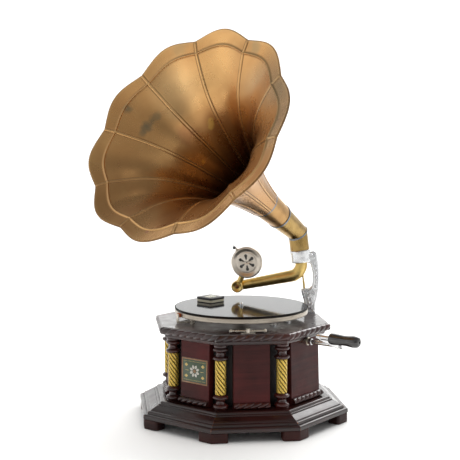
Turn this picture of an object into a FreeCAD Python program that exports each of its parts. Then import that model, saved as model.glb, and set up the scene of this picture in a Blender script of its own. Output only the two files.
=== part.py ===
import FreeCAD, Part
import math
import os

V = FreeCAD.Vector

# ---------------------------------------------------------------- dimensions
# millimetres, +Z up, z = 0 under the feet, origin on the cabinet's axis,
# decorated front facet towards -Y, crank towards +X
FOOT_H = 18.0            # corner feet
FOOT_LEG = 30.0          # length of a foot along each side of its corner
FOOT_W = 22.0
SLAB_AP = 187.5          # plinth slab, half of 375 across flats
PLINTH_IN = 120.0
LEDGE_Z = 46.0           # top ledge of the plinth
WALL_AP_LOW = 138.0      # wall face, slightly battered
WALL_AP_TOP = 135.0
WALL_T = 12.0
WALL_TOP = 161.0
PANEL_HALF = 32.5        # half width of a panel between two niches
COL_R = 142.0            # column axis from the cabinet's axis
COL_AZ = (-67.5, -22.5, 22.5, 67.5)
FRIEZE_AP = 147.0
BOARD_AP = 151.0         # top board without its rope moulding
BOARD_Z0 = 168.0
BOARD_Z1 = 182.0
ROPE_AP = 157.6

PLATTER_R = 124.3
PLATTER_Z0 = 194.7
PLATTER_Z1 = 204.7
RECORD_R = 125.0         # ten inch disc
RECORD_Z1 = 207.3
SPINDLE_TOP = 213.0

CRANK_Z = 158.0
CRANK_X = 217.0          # middle of the crank's arm
GRIP_Y = -64.4
GRIP_Z = 183.5
GRIP_X0 = 237.5
GRIP_X1 = 295.0

# swivel axis of tone arm and horn: leans 7 degrees towards the platter
LEAN = 7.0
LEAN_DIR = 37.25         # direction of local x, degrees from +X towards +Y
SWIVEL = V(50.5, 126.4, 272.6)
RING_Z0, RING_Z1 = 6.0, 32.0

ARM_END = V(-127.5, 25.0, -27.2)   # centre of the knuckle, in the swivel's frame
ARM_R = 11.6

BOX_P, BOX_Q = 28.0, 47.8          # sound box centre in the knuckle's frame
BOX_R = 30.0
NEEDLE_ANG = 122.7

HORN_EL = 29.7           # horn rises about 30 degrees, facing -Y
HORN_H = 66.0            # mitre centre up the swivel axis
HORN_L = 387.2           # mitre centre to the plane of the mouth's notches
PETALS = 10
SEAM_PHASE = -2.1
NOTCH_R = 186.0
TIP_R = 198.7
PETAL_BULGE = 8.4
TIP_DT = 4.6
SHEET = 1.2

MOTOR_Z0, MOTOR_Z1 = 92.0, 140.0
BARREL_X = 56.25
GOV_X = -28.8

C8 = math.cos(math.pi / 8)
T8 = math.tan(math.pi / 8)

os.makedirs("parts", exist_ok=True)
NODES = {}


def put(name, *shapes):
    solids = []
    for s in shapes:
        solids += s.Solids
    out = solids[0] if len(solids) == 1 else Part.makeCompound(solids)
    NODES[name] = out


# ---------------------------------------------------------------- helpers
def rad(a):
    return math.radians(a)


def az(a, r, z=0.0):
    return V(r * math.sin(rad(a)), -r * math.cos(rad(a)), z)


def turned(shape, angle, axis=V(0, 0, 1), centre=V(0, 0, 0)):
    s = shape.copy()
    s.rotate(centre, axis, angle)
    return s


def prism(pts, z0, z1):
    p = [V(x, y, z0) for x, y in pts]
    return Part.Face(Part.makePolygon(p + [p[0]])).extrude(V(0, 0, z1 - z0))


def octagon(ap):
    return [(ap / C8 * math.cos(rad(22.5 + 45 * k)), ap / C8 * math.sin(rad(22.5 + 45 * k))) for k in range(8)]


def oct_prism(ap, z0, z1):
    return prism(octagon(ap), z0, z1)


def wedge(z0, z1, reach=320.0):
    # the sector of one facet, facing -Y
    a, b = az(-22.5, reach), az(22.5, reach)
    return prism([(0, 0), (a.x, a.y), (b.x, b.y)], z0, z1)


def wire_of(path):
    # path: first a point, then points or (mid, end) arcs
    edges = []
    cur = path[0]
    for seg in path[1:]:
        if isinstance(seg, tuple):
            mid, end = seg
            edges.append(Part.Arc(cur, mid, end).toShape())
            cur = end
        else:
            edges.append(Part.LineSegment(cur, seg).toShape())
            cur = seg
    edges.append(Part.LineSegment(cur, path[0]).toShape())
    return Part.Wire(edges)


def rail(profile, z0, z1, half=90.0):
    # profile of (apothem, z) points and arcs, run along one facet and mitred
    def v(p):
        return V(-half, -p[0], p[1])
    path = []
    for seg in profile:
        if isinstance(seg[0], tuple):
            path.append((v(seg[0]), v(seg[1])))
        else:
            path.append(v(seg))
    body = Part.Face(wire_of(path)).extrude(V(2 * half, 0, 0))
    return body.common(wedge(z0 - 5, z1 + 5))


def cyl(r, p, d, h):
    return Part.makeCylinder(r, h, p, d)


def tube(ro, ri, p, d, h):
    return cyl(ro, p, d, h).cut(cyl(ri, p - d * 1.0, d, h + 2.0))


def revolve(profile, axis_p, axis_d, ref):
    # profile of (r, h): r along ref, h along axis_d
    pts = [axis_p + ref * r + axis_d * h for r, h in profile]
    f = Part.Face(Part.makePolygon(pts + [pts[0]]))
    return f.revolve(axis_p, axis_d, 360)


def revolve_path(path, axis_p, axis_d, ref):
    def v(p):
        return axis_p + ref * p[0] + axis_d * p[1]
    out = []
    for seg in path:
        if isinstance(seg[0], tuple):
            out.append((v(seg[0]), v(seg[1])))
        else:
            out.append(v(seg))
    return Part.Face(wire_of(out)).revolve(axis_p, axis_d, 360)


def fillet(shape, r, pick):
    edges = [e for e in shape.Edges if pick(e)]
    if not edges:
        return shape
    try:
        s = shape.makeFillet(r, edges)
        if s.isValid() and s.Volume > 0:
            return s
    except Exception:
        pass
    print("fillet skipped", r)
    return shape


def vertical(e):
    if len(e.Vertexes) != 2:
        return False
    d = e.Vertexes[1].Point - e.Vertexes[0].Point
    return abs(d.x) < 1e-6 and abs(d.y) < 1e-6


def spur(n, module, z0, z1, bore, centre, phase, add=0.9, ded=1.2):
    # straight toothed wheel, thin teeth for easy running
    rp = n * module / 2.0
    tip, root = rp + add * module, rp - ded * module
    pa = 2 * math.pi / n
    pts = []
    for k in range(n):
        a = rad(phase) + k * pa
        for r, f in ((root, -0.29), (tip, -0.10), (tip, 0.10), (root, 0.29)):
            pts.append((centre.x + r * math.cos(a + f * pa), centre.y + r * math.sin(a + f * pa)))
    g = prism(pts, z0, z1)
    return g.cut(cyl(bore, V(centre.x, centre.y, z0 - 1), V(0, 0, 1), z1 - z0 + 2))


def bevel(n, r, h, bore, hub_r, hub_back, phase, inner=0.64):
    # bevel wheel with its cone's tip at the origin, lying along -Z
    rc = math.hypot(r, h)
    ec = (r / rc, -h / rc)
    en = (h / rc, r / rc)
    m = 2.0 * r / n
    add, ded = 0.72 * m, 0.95 * m
    pitch = 2 * math.pi * r / n

    def pt(s, off, tang):
        rr = s * rc * ec[0] + off * s * en[0]
        zz = s * rc * ec[1] + off * s * en[1]
        return V(rr, tang * s, zz)
    teeth = []
    for k in range(n):
        wires = []
        for s in (inner, 1.0):
            p = [pt(s, -ded - 0.3, -0.29 * pitch), pt(s, add, -0.11 * pitch), pt(s, add, 0.11 * pitch), pt(s, -ded - 0.3, 0.29 * pitch)]
            wires.append(Part.makePolygon(p + [p[0]]))
        t = Part.makeLoft(wires, True, True)
        t.rotate(V(0, 0, 0), V(0, 0, 1), phase + 360.0 * k / n)
        teeth.append(t)
    a, b = pt(inner, -ded, 0), pt(1.0, -ded, 0)
    prof = [(bore, a.z), (a.x, a.z), (b.x, b.z), (hub_r, b.z - 2.0), (hub_r, b.z - hub_back), (bore, b.z - hub_back)]
    blank = revolve(prof, V(0, 0, 0), V(0, 0, 1), V(1, 0, 0))
    return blank.multiFuse(teeth).removeSplitter()


# ---------------------------------------------------------------- swivel frame
cl, sl = math.cos(rad(LEAN_DIR)), math.sin(rad(LEAN_DIR))
ct, st = math.cos(rad(LEAN)), math.sin(rad(LEAN))
EX = V(ct * cl, ct * sl, st)
EY = V(-sl, cl, 0)
EZ = V(-st * cl, -st * sl, ct)


def placement(ex, ey, ez, o):
    m = FreeCAD.Matrix(ex.x, ey.x, ez.x, o.x, ex.y, ey.y, ez.y, o.y, ex.z, ey.z, ez.z, o.z, 0, 0, 0, 1)
    return FreeCAD.Placement(m)


SWIVEL_PL = placement(EX, EY, EZ, SWIVEL)


def place(shape, pl):
    s = shape.copy()
    s.Placement = pl.multiply(s.Placement)
    return s


# knuckle frame inside the swivel frame: p back along the arm, q up, t sideways
arm_flat = V(ARM_END.x, ARM_END.y, 0)
arm_flat.normalize()
KP = V(-arm_flat.x, -arm_flat.y, 0)
KQ = V(0, 0, 1)
KT = KP.cross(KQ)
KNUCKLE_PL = SWIVEL_PL.multiply(placement(KP, KQ, KT, ARM_END))

# horn frame: origin at the mitre centre, z along the horn's axis
HN = V(0, -math.cos(rad(HORN_EL)), math.sin(rad(HORN_EL)))
HU = V(1, 0, 0)
HW = HN.cross(HU)
MITRE = SWIVEL + EZ * HORN_H
HORN_PL = placement(HU, HW, HN, MITRE)

# ---------------------------------------------------------------- cabinet
R_SLAB = (SLAB_AP - 1.0) / C8
c0 = az(22.5, R_SLAB)
t0, i0 = V(-1, 0, 0), V(0, 1, 0)
t1, i1 = V(math.cos(rad(45)), math.sin(rad(45)), 0), V(-math.sin(rad(45)), math.cos(rad(45)), 0)
inner = az(22.5, R_SLAB - FOOT_W / C8)
fp = [c0, c0 + t0 * FOOT_LEG, c0 + t0 * FOOT_LEG + i0 * FOOT_W, inner, c0 + t1 * FOOT_LEG + i1 * FOOT_W, c0 + t1 * FOOT_LEG]
foot = prism([(p.x, p.y) for p in fp], 0, FOOT_H)


def foot_edge(e):
    if not vertical(e):
        return False
    p = e.Vertexes[0].Point
    return any(math.hypot(p.x - q.x, p.y - q.y) < 0.1 for q in (fp[0], fp[1], fp[5]))


foot = fillet(foot, 5.0, foot_edge)
foot = fillet(foot, 2.0, lambda e: abs(e.BoundBox.ZMax) < 0.01 and e.Length > 3)
put("feet", *[turned(foot, 45 * k) for k in range(8)])

plinth_profile = [
    (PLINTH_IN, 18.0), (SLAB_AP - 1.0, 18.0), ((SLAB_AP - 0.3, 18.3), (SLAB_AP, 19.0)),
    (SLAB_AP, 23.0), ((SLAB_AP - 0.9, 25.2), (SLAB_AP - 3.2, 26.2)),
    (182.0, 26.2), (181.2, 25.0), (180.0, 25.0),
    (180.0, 27.6), ((178.9, 30.2), (176.3, 31.2)), (174.6, 31.2), (174.0, 32.4),
    (161.5, 39.6), (160.4, 38.8), (159.8, 38.9),
    ((159.4, 41.2), (157.2, 41.8)), (156.4, 41.0), (155.8, 41.2),
    (155.8, 43.4), ((154.9, 45.4), (152.8, LEDGE_Z)), (PLINTH_IN, LEDGE_Z)]
plinth = rail(plinth_profile, 18, LEDGE_Z, 95.0)
put("plinth_moulding", *[turned(plinth, 45 * k) for k in range(8)])
put("bottom_board", oct_prism(PLINTH_IN - 0.2, 22.0, 32.0))


def wall_ap(z):
    return WALL_AP_LOW + (WALL_AP_TOP - WALL_AP_LOW) * (z - LEDGE_Z) / (WALL_TOP - LEDGE_Z)


def slab_on_wall(z0, z1, off0, off1, half_l, half_r):
    # board following the wall's batter; a half width of None runs to the mitre
    wires = []
    for z in (z0, z1):
        a0, a1 = wall_ap(z) + off0, wall_ap(z) + off1
        if half_l is None:
            l1, l0 = -a1 * T8, -a0 * T8
        else:
            l1 = l0 = -half_l
        if half_r is None:
            r1, r0 = a1 * T8, a0 * T8
        else:
            r1 = r0 = half_r
        p = [V(l0, -a0, z), V(l1, -a1, z), V(r1, -a1, z), V(r0, -a0, z)]
        wires.append(Part.makePolygon(p + [p[0]]))
    return Part.makeLoft(wires, True, True)


crank_hole = cyl(5.9, V(100, 0, CRANK_Z), V(1, 0, 0), 80)
panels, strips = [], []
for k in range(-3, 5):
    a = 45 * k
    left = PANEL_HALF if (a - 22.5) in COL_AZ else None
    right = PANEL_HALF if (a + 22.5) in COL_AZ else None
    p = turned(slab_on_wall(LEDGE_Z, WALL_TOP, -WALL_T, 0.0, left, right), a)
    if a == 90:
        p = p.cut(crank_hole)
    panels.append(p)
    # foot strip, a half round moulding on the wall
    z0, z1 = LEDGE_Z, LEDGE_Z + 12.0
    aw = wall_ap(z0)
    prof = [(aw + 0.1, z0), (aw + 4.0, z0), ((aw + 8.6, z0 + 5.6), (aw + 4.0, z1)), (wall_ap(z1) + 0.1, z1)]
    s = rail(prof, z0, z1, 60.0)
    box = Part.makeBox(1000, 1000, 400, V(-500 if left is None else -left, -800, -50))
    s = s.common(box)
    if right is not None:
        s = s.common(Part.makeBox(1000, 1000, 400, V(right - 1000, -800, -50)))
    strips.append(turned(s, a))
put("wall_panels", *panels)
put("lower_rope_mouldings", *strips)

niche = Part.makeBox(56, 10, WALL_TOP - LEDGE_Z, V(-28, -121, LEDGE_Z))
put("niche_backs", *[turned(niche, a) for a in COL_AZ])

Zd = V(0, 0, 1)


def torus_path(r_in, r_out, z0, z1):
    return [((r_out, (z0 + z1) / 2.0), (r_in, z1))]


base_path = [(0, 46), (11.0, 46), ((13.2, 50.6), (11.0, 55.2)), (8.6, 55.8), (8.0, 59.8), (8.6, 63.8), (11.6, 64.2),
             ((14.0, 68.0), (11.6, 71.8)), (0, 71.8)]
cap_path = [(0, 133.4), (11.6, 133.4), ((13.8, 137.0), (11.6, 140.6)), (8.6, 141.0), (8.0, 145.0), (8.8, 149.0), (11.4, 149.4),
            ((13.6, 153.2), (11.6, 157.0)), (11.6, WALL_TOP), (0, WALL_TOP)]
bases, twists, caps = [], [], []
for a in COL_AZ:
    p = az(a, COL_R)
    bases.append(revolve_path(base_path, p, Zd, V(1, 0, 0)))
    caps.append(revolve_path(cap_path, p, Zd, V(1, 0, 0)))
    twists.append(cyl(9.6, V(p.x, p.y, 71.8), Zd, 133.4 - 71.8))
put("column_bases", *bases)
put("column_twists", *twists)
put("column_capitals", *caps)

frieze_profile = [(118.0, WALL_TOP), (143.6, WALL_TOP), ((145.6, 162.0), (146.4, 163.8)), (FRIEZE_AP, 164.0), (FRIEZE_AP, BOARD_Z0), (118.0, BOARD_Z0)]
frieze = rail(frieze_profile, WALL_TOP, BOARD_Z0, 80.0)
rails = []
for k in range(-3, 5):
    f = turned(frieze, 45 * k)
    if k == 2:
        f = f.cut(crank_hole)
    rails.append(f)
put("frieze_rails", *rails)

BOLTS = ((-44, 22), (-44, -22), (90, 22), (90, -22))
board = oct_prism(BOARD_AP, BOARD_Z0, BOARD_Z1)
board = board.cut(cyl(8.0, V(0, 0, 160), Zd, 30))
for x, y in BOLTS:
    board = board.cut(cyl(3.2, V(x, y, 160), Zd, 30))
put("top_board", board)
rope_profile = [(BOARD_AP, BOARD_Z0 + 0.6), (153.4, BOARD_Z0 + 0.6), ((ROPE_AP, 175.0), (153.4, 181.4)), (BOARD_AP, 181.4)]
rope = rail(rope_profile, BOARD_Z0, BOARD_Z1, 85.0)
put("top_rope_moulding", *[turned(rope, 45 * k) for k in range(8)])
put("front_plaque", slab_on_wall(84.0, 130.0, 0.05, 1.4, 30.0, 30.0))

# ---------------------------------------------------------------- crank
Xd = V(1, 0, 0)
bush = cyl(5.6, V(118, 0, CRANK_Z), Xd, 34.0).fuse(cyl(7.2, V(147.3, 0, CRANK_Z), Xd, 3.6))
bush = bush.cut(cyl(4.06, V(100, 0, CRANK_Z), Xd, 80))
put("crank_bush", bush.removeSplitter())
shaft = cyl(4.0, V(64.0, 0, CRANK_Z), Xd, CRANK_X + 5.5 - 64.0)
shaft = shaft.fuse(cyl(5.6, V(153.2, 0, CRANK_Z), Xd, 5.0)).fuse(cyl(5.4, V(CRANK_X + 3.2, 0, CRANK_Z), Xd, 3.0))
put("crank_shaft", shaft.removeSplitter())

hub = V(CRANK_X - 3, 0, CRANK_Z)
eye = V(CRANK_X - 3, GRIP_Y, GRIP_Z)
along = eye - hub
along.normalize()
side = Xd.cross(along)
half_h, half_e = 6.8, 5.6
edges = []
p1, p2 = hub + side * half_h, eye + side * half_e
p3, p4 = eye - side * half_e, hub - side * half_h
edges = [Part.LineSegment(p1, p2).toShape(), Part.Arc(p2, eye + along * half_e, p3).toShape(),
         Part.LineSegment(p3, p4).toShape(), Part.Arc(p4, hub - along * half_h, p1).toShape()]
arm = Part.Face(Part.Wire(edges)).extrude(Xd * 6.0)
arm = arm.cut(cyl(4.0, hub - Xd * 5, Xd, 20)).cut(cyl(3.0, eye - Xd * 5, Xd, 20))
arm = fillet(arm, 1.2, lambda e: e.BoundBox.XLength < 0.01 and e.BoundBox.DiagonalLength > 9.0)
put("crank_arm", arm)
gs = V(CRANK_X - 4.2, GRIP_Y, GRIP_Z)
spin = cyl(3.0, gs, Xd, GRIP_X1 - 4.0 - gs.x).fuse(cyl(4.3, V(CRANK_X + 3.0, GRIP_Y, GRIP_Z), Xd, GRIP_X0 - 0.4 - CRANK_X - 3.0))
spin = spin.fuse(cyl(4.4, V(CRANK_X - 5.4, GRIP_Y, GRIP_Z), Xd, 2.4))
put("grip_spindle", spin.removeSplitter())
gl = GRIP_X1 - GRIP_X0
grip_face = Part.Wire([
    Part.LineSegment(V(0, 0, 0), V(0, 8.6, 0)).toShape(),
    Part.Arc(V(0, 8.6, 0), V(0.5, 9.6, 0), V(1.6, 10.0, 0)).toShape(),
    (lambda b: (b.interpolate([V(1.6, 10.0, 0), V(0.28 * gl, 9.3, 0), V(0.5 * gl, 9.5, 0), V(0.74 * gl, 11.4, 0), V(0.9 * gl, 10.6, 0), V(0.975 * gl, 6.6, 0), V(gl, 0, 0)]), b.toShape())[1])(Part.BSplineCurve()),
    Part.LineSegment(V(gl, 0, 0), V(0, 0, 0)).toShape()])
grip = Part.Face(grip_face).revolve(V(0, 0, 0), Xd, 360)
grip = grip.cut(cyl(3.06, V(-1, 0, 0), Xd, gl - 2.6))
grip.translate(V(GRIP_X0, GRIP_Y, GRIP_Z))
put("crank_grip", grip)

# winding gears: bevel pinion on the crank's shaft, bevel wheel on the arbor
apex = V(BARREL_X, 0, CRANK_Z)
pinion = bevel(12, 8.0, 16.0, 4.0, 6.5, 6.0, 0.0)
pinion.rotate(V(0, 0, 0), V(0, 1, 0), -90)          # -Z becomes +X, +X becomes +Z
pinion.translate(apex)
put("bevel_pinion", pinion)
wheel = bevel(24, 16.0, 8.0, 5.0, 9.0, 2.4, 7.5)
wheel.translate(apex)
put("bevel_wheel", wheel)
arbor = cyl(5.0, V(BARREL_X, 0, 88.0), Zd, 152.4 - 88.0).fuse(cyl(8.0, V(BARREL_X, 0, 112.0), Zd, 14.0))
put("winding_arbor", arbor.removeSplitter())

# ---------------------------------------------------------------- motor
PILLARS = ((-42, 35), (-42, -35), (91, 38), (91, -38))
plates = []
for z in (MOTOR_Z0, MOTOR_Z1):
    pl = Part.makeBox(150, 88, 3, V(-52, -44, z))
    pl = fillet(pl, 10.0, vertical)
    for x, r in ((0, 5.06), (BARREL_X, 5.06), (GOV_X, 2.56)):
        pl = pl.cut(cyl(r, V(x, 0, z - 1), Zd, 5))
    if z == MOTOR_Z1:
        for x, y in BOLTS:
            pl = pl.cut(cyl(3.2, V(x, y, z - 1), Zd, 5))
    plates.append(pl)
cheek = Part.makeBox(4, 24, 22.5, V(86, -12, MOTOR_Z1 + 3)).cut(cyl(4.06, V(80, 0, CRANK_Z), Xd, 20))
plates.append(cheek)
put("motor_plates", *plates)
put("motor_pillars", *[cyl(4.0, V(x, y, MOTOR_Z0 + 3), Zd, MOTOR_Z1 - MOTOR_Z0 - 3) for x, y in PILLARS])
bolts = []
for x, y in BOLTS:
    b = cyl(3.0, V(x, y, 133.0), Zd, 49.0).fuse(cyl(6.0, V(x, y, BOARD_Z1), Zd, 2.6))
    bolts.append(b.removeSplitter())
    bolts.append(tube(6.0, 3.2, V(x, y, MOTOR_Z1 + 3), Zd, BOARD_Z0 - MOTOR_Z1 - 3))
    hexa = [(x + 5.2 * math.cos(rad(60 * k)), y + 5.2 * math.sin(rad(60 * k))) for k in range(6)]
    bolts.append(prism(hexa, MOTOR_Z1 - 4.6, MOTOR_Z1).cut(cyl(3.0, V(x, y, 130), Zd, 20)))
put("motor_bolts", *bolts)

barrel_c = V(BARREL_X, 0, 0)
rim = spur(72, 1.25, 105.0, 111.0, 5.06, barrel_c, 180.0 + 2.5)
drum = rim.fuse(cyl(40.0, V(BARREL_X, 0, 105.0), Zd, 25.0)).cut(cyl(37.6, V(BARREL_X, 0, 107.4), Zd, 30.0)).cut(cyl(5.06, V(BARREL_X, 0, 100), Zd, 40))
put("spring_barrel", drum.removeSplitter())
put("barrel_cover", tube(40.0, 5.06, V(BARREL_X, 0, 130.0), Zd, 1.6))
turns, n_t = 7.0, 168
inner_r, outer_r, thick = 9.2, 36.6, 1.1
pin, pout = [], []
for i in range(n_t + 1):
    f = i / n_t
    a = 2 * math.pi * turns * f
    r = inner_r + (outer_r - inner_r) * f
    pin.append((BARREL_X + r * math.cos(a), r * math.sin(a)))
    pout.append((BARREL_X + (r + thick) * math.cos(a), (r + thick) * math.sin(a)))
put("mainspring", prism(pin + pout[::-1], 109.0, 128.0).cut(cyl(37.5, V(BARREL_X, 0, 100), Zd, 40).cut(cyl(37.4, V(BARREL_X, 0, 99), Zd, 42))).Solids[0].common(cyl(37.3, V(BARREL_X, 0, 100), Zd, 40)))

spindle = cyl(5.0, V(0, 0, 88.0), Zd, 200.0 - 88.0).fuse(cyl(3.5, V(0, 0, 190.0), Zd, SPINDLE_TOP - 191.5 ))
spindle = spindle.fuse(Part.makeCone(3.5, 2.4, 1.5, V(0, 0, SPINDLE_TOP - 1.5), Zd))
put("spindle", spindle.removeSplitter())
sp = spur(18, 1.25, 104.0, 112.0, 5.0, V(0, 0, 0), 0.0)
sw = spur(60, 0.8, 132.5, 136.5, 5.0, V(0, 0, 0), 0.0)
put("spindle_gears", sp, sw)
gsh = cyl(2.5, V(GOV_X, 0, 88.0), Zd, 56.0)
gp = spur(12, 0.8, 131.5, 137.5, 2.4, V(GOV_X, 0, 0), 15.0)
gsh = gsh.fuse(gp).fuse(cyl(5.0, V(GOV_X, 0, 124.0), Zd, 5.0)).fuse(cyl(5.0, V(GOV_X, 0, 102.0), Zd, 4.0)).fuse(cyl(21.0, V(GOV_X, 0, 98.6), Zd, 3.0)).fuse(cyl(4.0, V(GOV_X, 0, 99.6), Zd, 3.0))
put("governor_shaft", gsh.removeSplitter())
wts = []
for k in range(3):
    strip = Part.makeBox(0.9, 5.0, 26.0, V(5.05, -2.5, 102.5))
    ball = Part.makeSphere(4.2, V(9.6, 0, 115.5))
    w = strip.fuse(ball).removeSplitter()
    w.rotate(V(0, 0, 0), Zd, 60 + 120 * k)
    w.translate(V(GOV_X, 0, 0))
    wts.append(w)
put("governor_weights", *wts)

# ---------------------------------------------------------------- turntable
plat_path = [(5.0, 188.0), (14.0, 188.0), (16.0, 201.4), (120.4, 201.4), (121.0, 200.8), (121.0, PLATTER_Z0), (123.3, PLATTER_Z0),
             ((124.0, 195.0), (PLATTER_R, 195.7)), (PLATTER_R, 203.7), ((124.0, 204.4), (123.3, PLATTER_Z1)), (5.0, PLATTER_Z1)]
platter = revolve_path(plat_path, V(0, 0, 0), Zd, Xd).cut(cyl(5.0, V(0, 0, 180), Zd, 20))
platter = platter.cut(cyl(5.02, V(0, 0, 180), Zd, 20.02)).cut(cyl(3.52, V(0, 0, 180), Zd, 40))
put("platter", platter)
put("felt_mat", tube(122.0, 3.52, V(0, 0, PLATTER_Z1), Zd, 0.9))
rec_path = [(3.55, 205.6), (124.4, 205.6), ((124.9, 206.4), (124.4, 207.2)), (122.0, RECORD_Z1), (50.0, RECORD_Z1), (49.6, 207.1), (48.0, 207.1), (47.6, RECORD_Z1), (3.55, RECORD_Z1)]
put("record", revolve_path(rec_path, V(0, 0, 0), Zd, Xd))

# needle tin resting on the disc, one corner towards the front
TIN = V(-59.0 * cl - 46.0 * sl, -59.0 * sl + 46.0 * cl, 0)
TIN_ROT = 45.0 + LEAN_DIR + 3.0
tz = RECORD_Z1 + 0.3
tin_b = fillet(Part.makeBox(38.6, 38.6, 5.2, V(-19.3, -19.3, tz)), 4.0, vertical).cut(fillet(Part.makeBox(37.4, 37.4, 10, V(-18.7, -18.7, tz + 0.6)), 3.4, vertical))
tin_l = fillet(Part.makeBox(39.4, 39.4, 4.6, V(-19.7, -19.7, tz + 5.3)), 4.4, vertical)
tin_l = fillet(tin_l, 1.2, lambda e: e.BoundBox.ZMin > tz + 9.8)
tin_l = tin_l.cut(fillet(Part.makeBox(38.0, 38.0, 3.6, V(-19.0, -19.0, tz + 5.2)), 3.7, vertical))
for nm, s in (("needle_tin_base", tin_b), ("needle_tin_lid", tin_l)):
    s = turned(s, TIN_ROT)
    s.translate(TIN)
    put(nm, s)

# ---------------------------------------------------------------- brake and speed lever
BR_PIV = V(-40.0, -95.0, 0)
BR_PAD_AZ = -26.8
pad_c = az(BR_PAD_AZ, 127.2)
post = cyl(2.5, V(BR_PIV.x, BR_PIV.y, BOARD_Z1), Zd, 7.4).fuse(cyl(4.6, V(BR_PIV.x, BR_PIV.y, BOARD_Z1), Zd, 2.0)).fuse(cyl(4.4, V(BR_PIV.x, BR_PIV.y, 187.2), Zd, 2.2))
put("brake_post", post.removeSplitter())
bd = V(pad_c.x - BR_PIV.x, pad_c.y - BR_PIV.y, 0)
bl = bd.Length
bd.normalize()
bs = V(-bd.y, bd.x, 0)
q = [BR_PIV + bs * 4.4, BR_PIV + bd * (bl + 3.5) + bs * 3.6, BR_PIV + bd * (bl + 3.5) - bs * 3.6, BR_PIV - bs * 4.4]
lever = prism([(p.x, p.y) for p in q], 184.5, 186.7).fuse(cyl(5.2, V(BR_PIV.x, BR_PIV.y, 184.5), Zd, 2.2))
lever = lever.cut(cyl(2.56, V(BR_PIV.x, BR_PIV.y, 180), Zd, 10))
rn = az(BR_PAD_AZ, 1.0)
tn = V(-rn.y, rn.x, 0)
tab_pts = [az(BR_PAD_AZ, 128.0) + tn * 4.5, az(BR_PAD_AZ, 129.6) + tn * 4.5, az(BR_PAD_AZ, 129.6) - tn * 4.5, az(BR_PAD_AZ, 128.0) - tn * 4.5]
lever = lever.fuse(prism([(p.x, p.y) for p in tab_pts], 184.5, 201.0)).removeSplitter()
put("brake_lever", lever)
pad_pts = [az(BR_PAD_AZ, 124.8) + tn * 5.2, az(BR_PAD_AZ, 128.0) + tn * 5.2, az(BR_PAD_AZ, 128.0) - tn * 5.2, az(BR_PAD_AZ, 124.8) - tn * 5.2]
pad = prism([(p.x, p.y) for p in pad_pts], 195.0, 202.0).cut(cyl(PLATTER_R + 0.5, V(0, 0, 190), Zd, 20))
put("brake_pad", pad)

SP_C = az(42.0, 142.6)
sd = V(math.cos(rad(42.0)), math.sin(rad(42.0)), 0)
sn = V(-sd.y, sd.x, 0)
plate = Part.makeBox(26, 9, 1.4, V(-13, -4.5, BOARD_Z1))
plate = fillet(plate, 4.0, vertical).fuse(cyl(2.4, V(0, 0, BOARD_Z1), Zd, 7.4)).fuse(cyl(3.9, V(0, 0, BOARD_Z1 + 6.2), Zd, 2.0))
plate = plate.removeSplitter()
plate.rotate(V(0, 0, 0), Zd, 42.0)
plate.translate(SP_C)
put("speed_plate", plate)
bar = cyl(1.9, V(-29.0, 0, BOARD_Z1 + 3.9), Xd, 58.0).fuse(cyl(4.6, V(0, 0, BOARD_Z1 + 1.9), Zd, 4.0))
for x in (-30.0, 30.0):
    bar = bar.fuse(Part.makeSphere(3.2, V(x, 0, BOARD_Z1 + 3.9)))
bar = bar.fuse(Part.makeBox(2.4, 10.0, 1.6, V(-1.2, 3.5, BOARD_Z1 + 3.0)))
bar = bar.cut(cyl(2.46, V(0, 0, 170), Zd, 30)).removeSplitter()
bar.rotate(V(0, 0, 0), Zd, 42.0)
bar.translate(SP_C)
put("speed_lever", bar)

# ---------------------------------------------------------------- bracket
R0d, D0d = V(cl, sl, 0), V(-sl, cl, 0)
DEP = SWIVEL.dot(D0d)


def br(right, z, dep=0.0):
    return R0d * right + D0d * (DEP + dep) + V(0, 0, z)


out = [(127.0, 299.5), (139.5, 303.0), (144.5, 300.0), (147.5, 285.0), (149.8, 264.0), (150.4, 244.0), (148.6, 217.0), (144.4, 200.0), (143.0, BOARD_Z1),
       (122.5, BOARD_Z1), (121.6, 203.0), (116.4, 222.0), (115.2, 229.6), (131.5, 230.4), (136.0, 235.0), (138.2, 246.0), (137.4, 262.0), (133.2, 279.0), (126.0, 280.4)]
HALF_B = 6.6
pts = [br(a, z, -HALF_B) for a, z in out]
cast = Part.Face(Part.makePolygon(pts + [pts[0]])).extrude(D0d * (2 * HALF_B))
cast = fillet(cast, 2.4, lambda e: abs((e.Vertexes[-1].Point - e.Vertexes[0].Point).dot(D0d)) < 1e-6 and e.BoundBox.ZMax > BOARD_Z1 + 1 and len(e.Vertexes) == 2)
# foot flange on the board
flange = [br(115.0, BOARD_Z1, -15.0), br(144.0, BOARD_Z1, -15.0), br(144.0, BOARD_Z1, 8.6), br(138.6, BOARD_Z1, 13.2), br(115.0, BOARD_Z1, 13.2)]
flange = fillet(prism([(p.x, p.y) for p in flange], BOARD_Z1, BOARD_Z1 + 4.5), 3.0, vertical)
SCREWS = ((120.5, -10.8), (138.5, -10.8), (126.5, 9.6))
ring = place(cyl(20.4, V(0, 0, RING_Z0), Zd, RING_Z1 - RING_Z0).fuse(tube(21.3, 20.0, V(0, 0, RING_Z1 - 4.0), Zd, 3.0)).fuse(tube(21.3, 20.0, V(0, 0, RING_Z0 + 1.0), Zd, 3.0)), SWIVEL_PL)
boss = cyl(5.6, br(133.7, 293.0, -11.0), D0d, 9.0)
cast = cast.fuse(flange).fuse(ring).fuse(boss)
bores = place(cyl(15.0, V(0, 0, 11.0), Zd, 60).fuse(cyl(ARM_R + 0.08, V(0, 0, -2), Zd, 14)).fuse(cyl(2.28, V(0, 0, -48.0), Zd, 20)), SWIVEL_PL)
cast = cast.cut(bores).removeSplitter()
scr = []
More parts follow.
